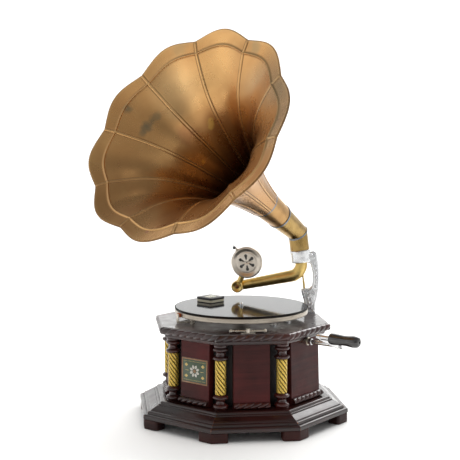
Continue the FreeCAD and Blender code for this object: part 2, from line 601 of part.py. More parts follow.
for a, d in SCREWS:
    p = br(a, BOARD_Z1 + 4.5, d)
    s = Part.makeSphere(3.9, p - V(0, 0, 2.2)).common(Part.makeBox(20, 20, 10, p - V(10, 10, 0)))
    slot = Part.makeBox(12, 0.9, 4, V(-6, -0.45, p.z + 0.9))
    slot.translate(V(p.x, p.y, 0))
    scr.append(s.cut(slot))
# clamp and boss screws on the side that faces the front right
for a, z, r, d in ((133.7, 293.0, 4.3, -11.0), (138.0, 221.0, 4.6, -HALF_B)):
    p = br(a, z, d)
    h = cyl(r, p - D0d * 2.2, D0d, 2.2)
    slot = Part.makeBox(14, 14, 1.0, V(-7, -7, -0.5))
    slot = turned(slot, LEAN_DIR)
    slot.translate(p - D0d * 8.0)
    scr.append(h.cut(slot))
put("bracket_screws", *scr)
for s in scr:
    cast = cast.cut(s)
put("bracket_casting", max(cast.Solids, key=lambda q: q.Volume))

# ---------------------------------------------------------------- tone arm (swivel frame)
corner = V(0, 0, -15.0)
adir = ARM_END - corner
alen = adir.Length
adir.normalize()
turn = math.degrees(math.acos(max(-1, min(1, -adir.z))))
RB = 20.0
tl = RB * math.tan(rad(turn / 2))
bend_axis = V(0, 0, -1).cross(adir)
bend_axis.normalize()
bstart = corner + V(0, 0, tl)
flat = V(adir.x, adir.y, 0)
flat.normalize()
bcen = bstart + flat * RB


def arm_body(r_stub, r_end, ext):
    s = cyl(r_stub, bstart - V(0, 0, 0.0), Zd, 10.4 - bstart.z + ext)
    disc = Part.Face(Part.Wire(Part.makeCircle(r_stub, bstart, Zd)))
    b = disc.revolve(bcen, bend_axis, turn)
    bend_end = corner + adir * tl
    c = Part.makeCone(r_stub, r_end, alen - tl, bend_end, adir)
    return s.fuse([b, c])


SOCK_T0, SOCK_T1 = -11.0, 0.0
arm_pl = placement(KP, KQ, KT, ARM_END)
socket = place(cyl(ARM_R, V(0, 0, SOCK_T0), Zd, SOCK_T1 - SOCK_T0), arm_pl)
arm_out = arm_body(ARM_R, 9.3, 0.0)
limit = place(Part.makeBox(400, 80, 60, V(-6.0, -40, SOCK_T0)), arm_pl)
hollow = arm_body(ARM_R - 1.2, 8.1, 1.0)
keep = place(Part.makeBox(60, 60, 60, V(-30, -30, 0.02)), arm_pl)
arm_t = arm_out.fuse(socket).cut(keep)
sock_in = place(cyl(ARM_R - 2.2, V(0, 0, SOCK_T0 + 2.0), Zd, 12.0), arm_pl)
screw_hole = place(cyl(2.5, V(0, 0, -20), Zd, 30), arm_pl)
beyond = place(Part.makeBox(60, 60, 60, V(-60.0, -30, -30)), arm_pl)
arm_t = arm_t.cut(hollow.cut(beyond)).cut(sock_in).cut(screw_hole)
# everything past the socket's far side goes
trim = place(cyl(200, V(0, 0, SOCK_T0), Zd, 12).cut(cyl(ARM_R, V(0, 0, SOCK_T0 - 1), Zd, 14)).common(Part.makeBox(300, 600, 100, V(-300.0, -300, -50))), arm_pl)
arm_t = arm_t.cut(trim).removeSplitter()
arm_t = max(arm_t.Solids, key=lambda s: s.Volume)
put("tonearm_tube", place(arm_t, SWIVEL_PL))
mid = math.radians(turn / 2)
pin_top = -16.0
pin = cyl(2.2, V(0, 0, -47.4), Zd, pin_top + 47.4)
pin = pin.cut(arm_out)
pin = min(pin.Solids, key=lambda s: s.BoundBox.ZMin)
put("tonearm_pivot_pin", place(pin, SWIVEL_PL))
fs = cyl(2.5, V(0, 0, SOCK_T0 - 0.6), Zd, 13.6 - SOCK_T0 + 0.6).fuse(cyl(4.2, V(0, 0, 13.4), Zd, 1.8)).fuse(cyl(4.0, V(0, 0, SOCK_T0 - 2.4), Zd, 2.4))
fs = fs.cut(Part.makeBox(12, 1.0, 2, V(-6, -0.5, 14.4))).removeSplitter()
put("flip_screw", place(fs, KNUCKLE_PL))

# ---------------------------------------------------------------- gooseneck and sound box (knuckle frame)
bdir = V(BOX_P, BOX_Q, 0)
bdist = bdir.Length
bdir.normalize()
NECK_T = 6.2
kn_path = [(0, 0.4), (ARM_R, 0.4), (ARM_R, 10.6), ((9.8, 12.4), (7.6, 13.1)), (0, 13.1)]
kn = revolve_path(kn_path, V(0, 0, 0), Zd, Xd)
neck = cyl(5.7, V(0, 0, NECK_T), bdir, bdist)
elbow = Part.makeSphere(5.7, V(BOX_P, BOX_Q, NECK_T))
spig = cyl(5.7, V(BOX_P, BOX_Q, NECK_T), Zd, 13.6 - NECK_T).fuse(cyl(7.4, V(BOX_P, BOX_Q, 11.4), Zd, 2.2))
gn = kn.fuse([neck, elbow, spig])
gn = gn.cut(cyl(4.4, bdir * 4.0 + V(0, 0, NECK_T), bdir, bdist - 4.0)).cut(cyl(4.4, V(BOX_P, BOX_Q, NECK_T), Zd, 12))
gn = gn.cut(cyl(8.2, V(0, 0, -1), Zd, 11.4)).cut(Part.makeSphere(4.4, V(BOX_P, BOX_Q, NECK_T)))
gn = gn.cut(cyl(2.56, V(0, 0, -5), Zd, 30)).removeSplitter()
gn = max(gn.Solids, key=lambda s: s.Volume)
put("gooseneck", place(gn, KNUCKLE_PL))

BC = V(BOX_P, BOX_Q, 0)
back_path = [(4.4, 13.8), (9.0, 13.8), (10.0, 15.0), (28.4, 15.0), ((29.6, 15.4), (BOX_R, 16.4)), (BOX_R, 23.8), (27.9, 23.8), (27.9, 19.8), (24.6, 19.8), (24.6, 17.2), (4.4, 17.2)]
put("soundbox_back", place(revolve_path(back_path, BC, Zd, Xd), KNUCKLE_PL))
put("diaphragm", place(cyl(27.6, BC + V(0, 0, 20.0), Zd, 0.5), KNUCKLE_PL))
front_path = [(3.0, 24.2), (12.0, 23.2), (24.0, 23.2), (25.6, 24.0), (29.4, 24.0), ((30.6, 25.6), (29.4, 27.4)), (26.4, 27.4), (24.4, 25.0), (12.4, 24.8), (3.0, 26.0)]
front = revolve_path(front_path, BC, Zd, Xd)
for k in range(6):
    s = cyl(2.5, BC + V(12.4, 0, 15), Zd, 20).fuse([cyl(1.7, BC + V(9.0, 0, 15), Zd, 20), prism([(BC.x + 5.4, BC.y - 0.4), (BC.x + 12.4, BC.y - 1.7), (BC.x + 12.4, BC.y + 1.7), (BC.x + 5.4, BC.y + 0.4)], 15, 35)])
    s.rotate(BC, Zd, 31 + 60 * k)
    front = front.cut(s)
front = max(front.Solids, key=lambda s: s.Volume)
put("soundbox_front", place(front, KNUCKLE_PL))
nd = V(math.cos(rad(NEEDLE_ANG)), math.sin(rad(NEEDLE_ANG)), 0)
ns = V(-nd.y, nd.x, 0)
nb = [BC + nd * 30.4 + ns * 4.6, BC + nd * 33.4 + ns * 4.6, BC + nd * 35.5 + ns * 3.4, BC + nd * 35.5 - ns * 3.4, BC + nd * 33.4 - ns * 4.6, BC + nd * 30.4 - ns * 4.6]
nbar = prism([(p.x, p.y) for p in nb], 17.0, 24.6).fuse(cyl(3.0, BC + nd * 34.5 + V(0, 0, 20.8), nd, 5.0))
nbar = nbar.cut(cyl(1.0, BC + nd * 30.0 + V(0, 0, 20.8), nd, 15)).cut(cyl(1.3, BC + nd * 37.2 + V(0, 0, 20.8), Zd, 10)).removeSplitter()
put("needle_bar", place(nbar, KNUCKLE_PL))
ths = cyl(1.3, BC + nd * 37.2 + V(0, 0, 21.9), Zd, 4.2).fuse(cyl(3.3, BC + nd * 37.2 + V(0, 0, 25.6), Zd, 4.0))
put("needle_screw", place(ths.removeSplitter(), KNUCKLE_PL))
ndl = cyl(1.0, BC + nd * 31.0 + V(0, 0, 20.8), nd, 10.6).fuse(Part.makeCone(1.0, 0.15, 2.6, BC + nd * 41.6 + V(0, 0, 20.8), nd))
put("needle", place(ndl.removeSplitter().cut(place(cyl(1.3, BC + nd * 37.2 + V(0, 0, 20.9), Zd, 10), FreeCAD.Placement())), KNUCKLE_PL))

# ---------------------------------------------------------------- horn
mn = EZ + HN
mn.normalize()
big = Part.makeBox(400, 400, 400, V(-200, -200, 0))
mx = mn.cross(V(1, 0, 0))
mx.normalize()
my = mn.cross(mx)
above = place(big, placement(mx, my, mn, MITRE))
TUBE_R = 18.5


def swivel_cyl(r, z0, z1):
    return place(cyl(r, V(0, 0, z0), Zd, z1 - z0), SWIVEL_PL)


ht = swivel_cyl(TUBE_R, RING_Z1 + 0.3, HORN_H + 40).cut(above).cut(swivel_cyl(TUBE_R - 1.2, 27, HORN_H + 41))
ht = max(ht.Solids, key=lambda s: s.Volume)
ht = ht.fuse(swivel_cyl(14.94, 12.0, RING_Z1 + 1.4).cut(swivel_cyl(13.6, 11.0, RING_Z1 + 3.0))).fuse(swivel_cyl(TUBE_R, RING_Z1 + 0.3, RING_Z1 + 1.4).cut(swivel_cyl(13.6, RING_Z1 - 1.0, RING_Z1 + 3.0)))
put("horn_tube", ht.removeSplitter())


def cone_shell(r0, r1, z0, z1, wall):
    return Part.makeCone(r0, r1, z1 - z0, V(0, 0, z0), Zd).cut(Part.makeCone(r0 - wall, r1 - wall, z1 - z0, V(0, 0, z0), Zd))


# elbow widens from the tube's size at the mitre; the collar carries on to the bell
T_COLLAR, T_BELL = 72.0, 129.0
cone_k = (27.2 - 18.6) / T_BELL


def cone_at(t):
    return 18.6 + cone_k * t


el = place(cone_shell(cone_at(-40.0), cone_at(T_COLLAR), -40.0, T_COLLAR, 1.2), HORN_PL).common(above)
el = max(el.Solids, key=lambda s: s.Volume)
put("horn_elbow", el)
put("horn_collar", place(cone_shell(cone_at(T_COLLAR + 0.1), cone_at(T_BELL), T_COLLAR + 0.1, T_BELL, 1.2), HORN_PL))

# profile of the seam line: radius against distance from the mitre centre


BELL = [(130.0, 27.3), (155.0, 31.2), (180.0, 36.2), (200.0, 41.2), (222.0, 48.2), (245.0, 57.0), (268.0, 67.0), (290.0, 78.0),
        (310.0, 90.0), (328.0, 103.5), (342.0, 117.0), (353.0, 130.0), (362.0, 142.0), (370.0, 153.5), (379.2, 167.0)]


def bell_slope(i):
    if i == 0:
        return 0.150
    if i == len(BELL) - 1:
        return 1.48
    (t0_, r0_), (t1_, r1_), (t2_, r2_) = BELL[i - 1], BELL[i], BELL[i + 1]
    g0, g1 = (r1_ - r0_) / (t1_ - t0_), (r2_ - r1_) / (t2_ - t1_)
    return (g0 * (t2_ - t1_) + g1 * (t1_ - t0_)) / (t2_ - t0_)


def bell_r(t):
    # smooth curve through the points above
    i = 0
    while i < len(BELL) - 2 and t > BELL[i + 1][0]:
        i += 1
    (ta, ra), (tb, rb) = BELL[i], BELL[i + 1]
    h = tb - ta
    u = (t - ta) / h
    return ((1 + 2 * u) * (1 - u) ** 2 * ra + u * (1 - u) ** 2 * h * bell_slope(i)
            + u * u * (3 - 2 * u) * rb + u * u * (u - 1) * h * bell_slope(i + 1))


CREASE_T = HORN_L - 8.0
CREASE_R = bell_r(CREASE_T)
stations = [T_BELL + 1.2, 148, 166, 184, 202, 222, 242, 262, 282, 301, 319, 335, 349, 361, 371]
prof = [(t, bell_r(t)) for t in stations]
k_end = (CREASE_T, CREASE_R)
prof += [(CREASE_T - 3.0, bell_r(CREASE_T - 3.0) + 0.5), (CREASE_T - 0.3, CREASE_R + 1.2), (CREASE_T + 2.5, CREASE_R + 7.0), (CREASE_T + 5.0, CREASE_R + 12.8), (HORN_L, NOTCH_R)]


def bulge(t, r):
    # how far a petal's middle stands out past its seams: radial and axial
    f = max(0.0, min(1.0, (r - 27.3) / (CREASE_R - 27.3)))
    b = PETAL_BULGE * f ** 1.15
    d = 0.0
    if r > CREASE_R:
        g = (r - CREASE_R) / (NOTCH_R - CREASE_R)
        b += (TIP_R - NOTCH_R - PETAL_BULGE) * g
        d = TIP_DT * g
    return b, d


def petal_point(i, phi, off=0.0):
    t, r = prof[i]
    b, d = bulge(t, r)
    s = 0.4 * (1.0 - (phi / 18.0) ** 2) + 0.3 * (1.0 + math.cos(math.pi * phi / 18.0))
    rr, tt = r + b * s, t + d * s
    return rr, tt


def profile_normal(i, phi):
    j0, j1 = max(0, i - 1), min(len(prof) - 1, i + 1)
    r0, t0_ = petal_point(j0, phi)
    r1, t1_ = petal_point(j1, phi)
    dr, dt = r1 - r0, t1_ - t0_
    ln = math.hypot(dr, dt)
    return dt / ln, -dr / ln      # outward: larger radius, towards the throat


PHI = [-17.9, -12.0, -6.0, 0.0, 6.0, 12.0, 17.9]


def petal_grid(off, shrink=0.0):
    g = []
    for i in range(len(prof)):
        row = []
        for phi in PHI:
            rr, tt = petal_point(i, phi)
            nr, nt = profile_normal(i, phi)
            rr, tt = rr + nr * off, tt + nt * off
            row.append(V(rr * math.cos(rad(phi)), rr * math.sin(rad(phi)), tt))
        g.append(row)
    return g


def surface(grid):
    b = Part.BSplineSurface()
    b.interpolate(grid)
    return b


s_in, s_out = surface(petal_grid(0.0)), surface(petal_grid(SHEET))
f_in, f_out = s_in.toShape(), s_out.toShape()
u0, u1, v0, v1 = s_in.bounds()
faces = [f_in, f_out]
for kind, val in (("u", u0), ("u", u1), ("v", v0), ("v", v1)):
    ci = s_in.uIso(val) if kind == "u" else s_in.vIso(val)
    co = s_out.uIso(val) if kind == "u" else s_out.vIso(val)
    faces.append(Part.makeRuledSurface(ci.toShape(), co.toShape()))
shell = Part.makeCompound(faces)
shell.sewShape(1e-4)
shell = Part.Shell(shell.Faces)
petal = Part.makeSolid(shell)
if petal.Volume < 0:
    petal.reverse()
petals, seams, wires = [], [], []
for k in range(PETALS):
    p = turned(petal, SEAM_PHASE + 18.0 + 36.0 * k)
    petals.append(place(p, HORN_PL))
put("horn_petals", *petals)

seam_in, seam_out = [], []
for i in range(1, len(prof) - 1):
    tt, rr = prof[i]
    nr, nt = profile_normal(i, 18.0)
    seam_in.append(V(rr + nr * (SHEET + 0.15), 0, tt + nt * (SHEET + 0.15)))
    seam_out.append(V(rr + nr * (SHEET + 1.3), 0, tt + nt * (SHEET + 1.3)))
ca, cb = Part.BSplineCurve(), Part.BSplineCurve()
ca.interpolate(seam_in)
cb.interpolate(seam_out)
sw_ = Part.Wire([ca.toShape(), Part.LineSegment(seam_in[-1], seam_out[-1]).toShape(), cb.toShape(), Part.LineSegment(seam_out[0], seam_in[0]).toShape()])
seam = Part.Face(sw_).extrude(V(0, 4.4, 0))
seam.translate(V(0, -2.2, 0))
full = Part.makeCompound([turned(petal, 18.0), turned(petal, -18.0)])
seam = seam.cut(turned(petal, 18.0)).cut(turned(petal, -18.0))
seam = max(seam.Solids, key=lambda s: s.Volume)
for k in range(PETALS):
    seams.append(place(turned(seam, SEAM_PHASE + 36.0 * k), HORN_PL))
put("horn_seams", *seams)

# rolled edge: a wire along each petal's rim
WIRE_R = 1.9
rimp = []
last = len(prof) - 1
for phi in (-17.4, -14.0, -10.0, -5.0, 0.0, 5.0, 10.0, 14.0, 17.4):
    rr, tt = petal_point(last, phi)
    nr, nt = profile_normal(last, phi)
    er, et = -nt, nr                       # along the sheet, outwards
    rr, tt = rr + er * (WIRE_R + 0.12) + nr * SHEET / 2, tt + et * (WIRE_R + 0.12) + nt * SHEET / 2
    rimp.append(V(rr * math.cos(rad(phi)), rr * math.sin(rad(phi)), tt))
cr = Part.BSplineCurve()
cr.interpolate(rimp)
spine = Part.Wire([cr.toShape()])
tan = cr.tangent(cr.FirstParameter)[0]
circ = Part.Wire([Part.makeCircle(WIRE_R, rimp[0], tan)])
rim_w = spine.makePipeShell([circ], True, False)
for k in range(PETALS):
    wires.append(place(turned(rim_w, SEAM_PHASE + 18.0 + 36.0 * k), HORN_PL))
put("horn_rim_wire", *wires)

rings = [place(tube(28.4, 27.0, V(0, 0, T_BELL - 2.4), Zd, 3.2), HORN_PL), place(tube(24.6, 22.6, V(0, 0, T_COLLAR - 1.5), Zd, 3.2), HORN_PL)]
r1 = rings[0].cut(NODES["horn_collar"])
r2 = rings[1].cut(NODES["horn_collar"]).cut(NODES["horn_elbow"])
low = place(Part.makeBox(400, 400, 2.6, V(-200, -200, -2.6)), placement(mx, my, mn, MITRE))
band = swivel_cyl(TUBE_R + 0.9, 20, HORN_H + 60).cut(swivel_cyl(TUBE_R, 19, HORN_H + 61)).common(low)
put("solder_rings", max(r1.Solids, key=lambda s: s.Volume), max(r2.Solids, key=lambda s: s.Volume), max(band.Solids, key=lambda s: s.Volume))

# ---------------------------------------------------------------- export
for name, shape in NODES.items():
    bad = [s for s in shape.Solids if not s.isValid() or s.Volume <= 0]
    if bad or not shape.Solids:
        print("CHECK", name, len(bad), "of", len(shape.Solids))
    shape.exportStep("parts/%s.step" % name)
print(len(NODES), "nodes")
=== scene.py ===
import math

import bmesh
import bpy
import numpy as np
from mathutils import Matrix, Vector
from mathutils.geometry import tessellate_polygon


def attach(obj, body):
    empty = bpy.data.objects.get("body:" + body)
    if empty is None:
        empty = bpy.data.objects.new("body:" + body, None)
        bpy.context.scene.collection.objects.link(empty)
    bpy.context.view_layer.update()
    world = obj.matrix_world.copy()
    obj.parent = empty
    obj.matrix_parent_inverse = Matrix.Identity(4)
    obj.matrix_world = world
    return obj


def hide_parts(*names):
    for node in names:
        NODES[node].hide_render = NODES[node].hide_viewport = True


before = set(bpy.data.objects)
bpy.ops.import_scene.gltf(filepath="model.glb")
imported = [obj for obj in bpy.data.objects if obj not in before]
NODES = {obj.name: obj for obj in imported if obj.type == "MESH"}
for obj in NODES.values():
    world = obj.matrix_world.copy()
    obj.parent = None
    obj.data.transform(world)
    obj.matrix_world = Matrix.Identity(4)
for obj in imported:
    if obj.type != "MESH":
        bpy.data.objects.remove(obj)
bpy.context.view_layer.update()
MM = 0.001
rad = math.radians

# ------------------------------------------------------------------ frames
LEAN, LEAN_DIR = 7.0, 37.25
cl, sl = math.cos(rad(LEAN_DIR)), math.sin(rad(LEAN_DIR))
ct, st = math.cos(rad(LEAN)), math.sin(rad(LEAN))
EX = np.array([ct * cl, ct * sl, st])
EY = np.array([-sl, cl, 0.0])
EZ = np.array([-st * cl, -st * sl, ct])
SWIVEL = np.array([50.5, 126.4, 272.6])
ARM_END = np.array([-127.5, 25.0, -27.2])
WORLD = (np.zeros(3), np.eye(3))
SW = (SWIVEL, np.stack([EX, EY, EZ]))
af = np.array([ARM_END[0], ARM_END[1], 0.0])
af /= np.linalg.norm(af)
KP, KQ = -af, np.array([0.0, 0.0, 1.0])
KT = np.cross(KP, KQ)


def to_world(fr, pts):
    o, ax = fr
    return o + np.asarray(pts, float) @ ax


KN = (to_world(SW, [ARM_END])[0], np.stack([KP, KQ, KT]) @ SW[1])
HORN_EL, HORN_H, HORN_L = 29.7, 66.0, 387.2
HN = np.array([0, -math.cos(rad(HORN_EL)), math.sin(rad(HORN_EL))])
HU = np.array([1.0, 0, 0])
HW = np.cross(HN, HU)
HORN = (SWIVEL + EZ * HORN_H, np.stack([HU, HW, HN]))
C8, T8 = math.cos(math.pi / 8), math.tan(math.pi / 8)


def az_pt(a, r, z=0.0):
    return np.array([r * math.sin(rad(a)), -r * math.cos(rad(a)), z])


def rot_z(pts, a):
    c, s = math.cos(rad(a)), math.sin(rad(a))
    p = np.array(pts, float)
    out = p.copy()
    out[:, 0] = c * p[:, 0] - s * p[:, 1]
    out[:, 1] = s * p[:, 0] + c * p[:, 1]
    return out


# ------------------------------------------------------------------ node helpers
class Mat:
    def __init__(self, name):
        self.m = bpy.data.materials.new(name)
        self.m.use_nodes = True
        self.nt = self.m.node_tree
        self.nt.nodes.clear()
        self.out = self.nt.nodes.new("ShaderNodeOutputMaterial")
        self.p = self.nt.nodes.new("ShaderNodeBsdfPrincipled")
        self.nt.links.new(self.p.outputs[0], self.out.inputs[0])
        self.tc = self.nt.nodes.new("ShaderNodeTexCoord").outputs["Object"]

    def link(self, value, socket):
        if isinstance(value, bpy.types.NodeSocket):
            self.nt.links.new(value, socket)
        elif value is not None:
            if hasattr(socket.default_value, "__len__") and not hasattr(value, "__len__"):
                value = (value,) * len(socket.default_value)
            if hasattr(value, "__len__") and len(value) == 3 and len(socket.default_value) == 4:
                value = (*value, 1.0)
            socket.default_value = value

    def set(self, **kw):
        names = {"color": "Base Color", "metal": "Metallic", "rough": "Roughness", "ior": "IOR", "coat": "Coat Weight",
                 "coat_rough": "Coat Roughness", "spec": "Specular IOR Level", "normal": "Normal", "aniso": "Anisotropic",
                 "sheen": "Sheen Weight", "coat_normal": "Coat Normal", "trans": "Transmission Weight"}
        for k, v in kw.items():
            self.link(v, self.p.inputs[names[k]])
        return self

    def mapping(self, scale=(1, 1, 1), rot=(0, 0, 0), loc=(0, 0, 0), vec=None):
        n = self.nt.nodes.new("ShaderNodeMapping")
        n.inputs["Scale"].default_value = scale
        n.inputs["Rotation"].default_value = rot
        n.inputs["Location"].default_value = loc
        self.link(vec or self.tc, n.inputs["Vector"])
        return n.outputs[0]

    def noise(self, scale, detail=4.0, rough=0.55, dist=0.0, vec=None):
        n = self.nt.nodes.new("ShaderNodeTexNoise")
        self.link(vec or self.tc, n.inputs["Vector"])
        n.inputs["Scale"].default_value = scale
        n.inputs["Detail"].default_value = detail
        n.inputs["Roughness"].default_value = rough
        n.inputs["Distortion"].default_value = dist
        return n.outputs[0]

    def voronoi(self, scale, vec=None, feature="F1"):
        n = self.nt.nodes.new("ShaderNodeTexVoronoi")
        n.feature = feature
        self.link(vec or self.tc, n.inputs["Vector"])
        n.inputs["Scale"].default_value = scale
        return n.outputs["Distance"]

    def ramp(self, fac, stops, mode="LINEAR"):
        n = self.nt.nodes.new("ShaderNodeValToRGB")
        n.color_ramp.interpolation = mode
        e = n.color_ramp.elements
        while len(e) < len(stops):
            e.new(0.5)
        for i, (pos, col) in enumerate(stops):
            e[i].position = pos
            if not hasattr(col, "__len__"):
                col = (col, col, col)
            e[i].color = (*col, 1.0)
        self.link(fac, n.inputs[0])
        return n.outputs[0]

    def mix(self, fac, a, b, blend="MIX"):
        n = self.nt.nodes.new("ShaderNodeMix")
        n.data_type = "RGBA"
        n.blend_type = blend
        self.link(fac, n.inputs[0])
        self.link(a, n.inputs[6])
        self.link(b, n.inputs[7])
        return n.outputs[2]

    def math(self, op, a, b=None, clamp=False):
        n = self.nt.nodes.new("ShaderNodeMath")
        n.operation = op
        n.use_clamp = clamp
        self.link(a, n.inputs[0])
        if b is not None:
            self.link(b, n.inputs[1])
        return n.outputs[0]

    def mapr(self, v, a0, a1, b0, b1):
        n = self.nt.nodes.new("ShaderNodeMapRange")
        self.link(v, n.inputs[0])
        for i, x in enumerate((a0, a1, b0, b1)):
            n.inputs[i + 1].default_value = x
        return n.outputs[0]

    def attr(self, name):
        n = self.nt.nodes.new("ShaderNodeAttribute")
        n.attribute_name = name
        return n.outputs["Fac"]

    def dist(self, point):
        # distance from a point, in metres
        n = self.nt.nodes.new("ShaderNodeVectorMath")
        n.operation = "DISTANCE"
        self.link(self.tc, n.inputs[0])
        n.inputs[1].default_value = tuple(point)
        return n.outputs["Value"]

    def sep(self, vec=None):
        n = self.nt.nodes.new("ShaderNodeSeparateXYZ")
        self.link(vec or self.tc, n.inputs[0])
        return n.outputs

    def comb(self, x, y, z):
        n = self.nt.nodes.new("ShaderNodeCombineXYZ")
        self.link(x, n.inputs[0])
        self.link(y, n.inputs[1])
        self.link(z, n.inputs[2])
        return n.outputs[0]

    def bump(self, height, strength=0.2, distance=0.001, normal=None):
        n = self.nt.nodes.new("ShaderNodeBump")
        n.inputs["Strength"].default_value = strength
        n.inputs["Distance"].default_value = distance
        self.link(height, n.inputs["Height"])
        if normal is not None:
            self.link(normal, n.inputs["Normal"])
        return n.outputs[0]

    def done(self):
        return self.m


# ------------------------------------------------------------------ materials
def wood(name, dark, mid, red, wear_amount=1.0, axis="h", coat_rough=0.07, coat=0.75, rough0=0.26, rough1=0.44, spec=0.30):
    m = Mat(name)
    if axis == "h":       # grain runs level round the case
        gv = m.mapping(scale=(6, 6, 130))
    elif axis == "v":
        gv = m.mapping(scale=(120, 120, 7))
    else:                 # top board, grain from side to side
        gv = m.mapping(scale=(6, 130, 60))
    grain = m.noise(1.0, 6.0, 0.65, 0.6, gv)
    pores = m.noise(4.2, 3.0, 0.6, 0.2, gv)
    big = m.noise(11.0, 3.0, 0.5)
    c = m.mix(m.ramp(grain, [(0.32, 0.0), (0.68, 1.0)]), dark, mid)
    c = m.mix(m.ramp(big, [(0.42, 0.0), (0.70, 0.85)]), c, red)
    c = m.mix(m.ramp(pores, [(0.60, 0.0), (0.72, 0.7)]), c, tuple(0.35 * x for x in dark))
    w = m.attr("wear")
    chips = m.noise(240.0, 4.0, 0.7)
    k = m.math("ADD", m.math("MULTIPLY", w, 0.62), m.math("MULTIPLY", chips, 0.55))
    worn = m.ramp(k, [(0.84, 0.0), (0.95, wear_amount)])
    c = m.mix(worn, c, m.mix(m.noise(90.0, 3.0), (0.16, 0.035, 0.015), (0.42, 0.13, 0.045)))
    rough = m.mapr(m.noise(38.0, 4.0), 0.3, 0.7, rough0, rough1)
    n1 = m.bump(m.math("ADD", grain, m.math("MULTIPLY", m.noise(60.0, 3.0), 0.8)), 0.18, 0.0004)
    m.set(color=c, rough=rough, coat=coat, coat_rough=coat_rough, normal=n1, spec=spec)
    cn = m.bump(m.noise(34.0, 2.0), 0.10, 0.0012)
    m.set(coat_normal=cn)
    return m.done()


M_PLINTH = wood("wood_plinth", (0.006, 0.0018, 0.0014), (0.016, 0.0042, 0.0030), (0.027, 0.0046, 0.0034), 0.8, "h", 0.08, 0.62)
M_FOOT = wood("wood_foot", (0.013, 0.0034, 0.0028), (0.034, 0.0082, 0.0062), (0.058, 0.0095, 0.0070), 0.9, "h", 0.24, 0.16, 0.40, 0.56, 0.16)
M_PANEL = wood("wood_panel", (0.030, 0.0075, 0.0070), (0.062, 0.0130, 0.0115), (0.098, 0.0115, 0.0110), 0.5, "h", 0.22, 0.10, 0.42, 0.58, 0.15)
M_BOARD = wood("wood_board", (0.010, 0.0034, 0.0030), (0.024, 0.0076, 0.0060), (0.038, 0.0080, 0.0060), 0.8, "t", 0.05)
M_CARVED = wood("wood_carved", (0.010, 0.0034, 0.0030), (0.032, 0.0085, 0.0066), (0.056, 0.0100, 0.0075), 0.8, "h", 0.10)
M_TURNED = wood("wood_turned", (0.012, 0.0036, 0.0030), (0.036, 0.0085, 0.0066), (0.070, 0.0100, 0.0075), 0.6, "h", 0.06)


def dark_wood():
    m = Mat("wood_niche")
    g = m.noise(1.0, 4.0, 0.6, 0.3, m.mapping(scale=(90, 90, 8)))
    m.set(color=m.mix(g, (0.004, 0.0022, 0.002), (0.012, 0.005, 0.004)), rough=m.mapr(g, 0.3, 0.7, 0.45, 0.62), normal=m.bump(g, 0.2, 0.0004))
    return m.done()


M_NICHE = dark_wood()


def gilt():
    m = Mat("gilt_paint")
    cav = m.attr("cav")
    n = m.noise(260.0, 4.0, 0.6)
    big = m.noise(60.0, 3.0, 0.5)
    c = m.mix(n, (0.58, 0.375, 0.046), (0.80, 0.575, 0.115))
    c = m.mix(m.ramp(big, [(0.5, 0.0), (0.75, 0.45)]), c, (0.50, 0.29, 0.04))
    # painted shade: the twist's hollows and the fine strand lines darken to near black and lose their metal
    k = m.math("ADD", cav, m.math("MULTIPLY", m.math("SUBTRACT", n, 0.5), 0.35))
    c = m.mix(m.ramp(k, [(0.34, 0.0), (0.66, 0.98)]), c, (0.013, 0.006, 0.003))
    m.set(color=c, metal=m.mapr(k, 0.5, 0.85, 0.55, 0.0), rough=m.mapr(n, 0.3, 0.7, 0.22, 0.42), normal=m.bump(n, 0.25, 0.0003), coat=0.4, coat_rough=0.12)
    return m.done()


M_GILT = gilt()


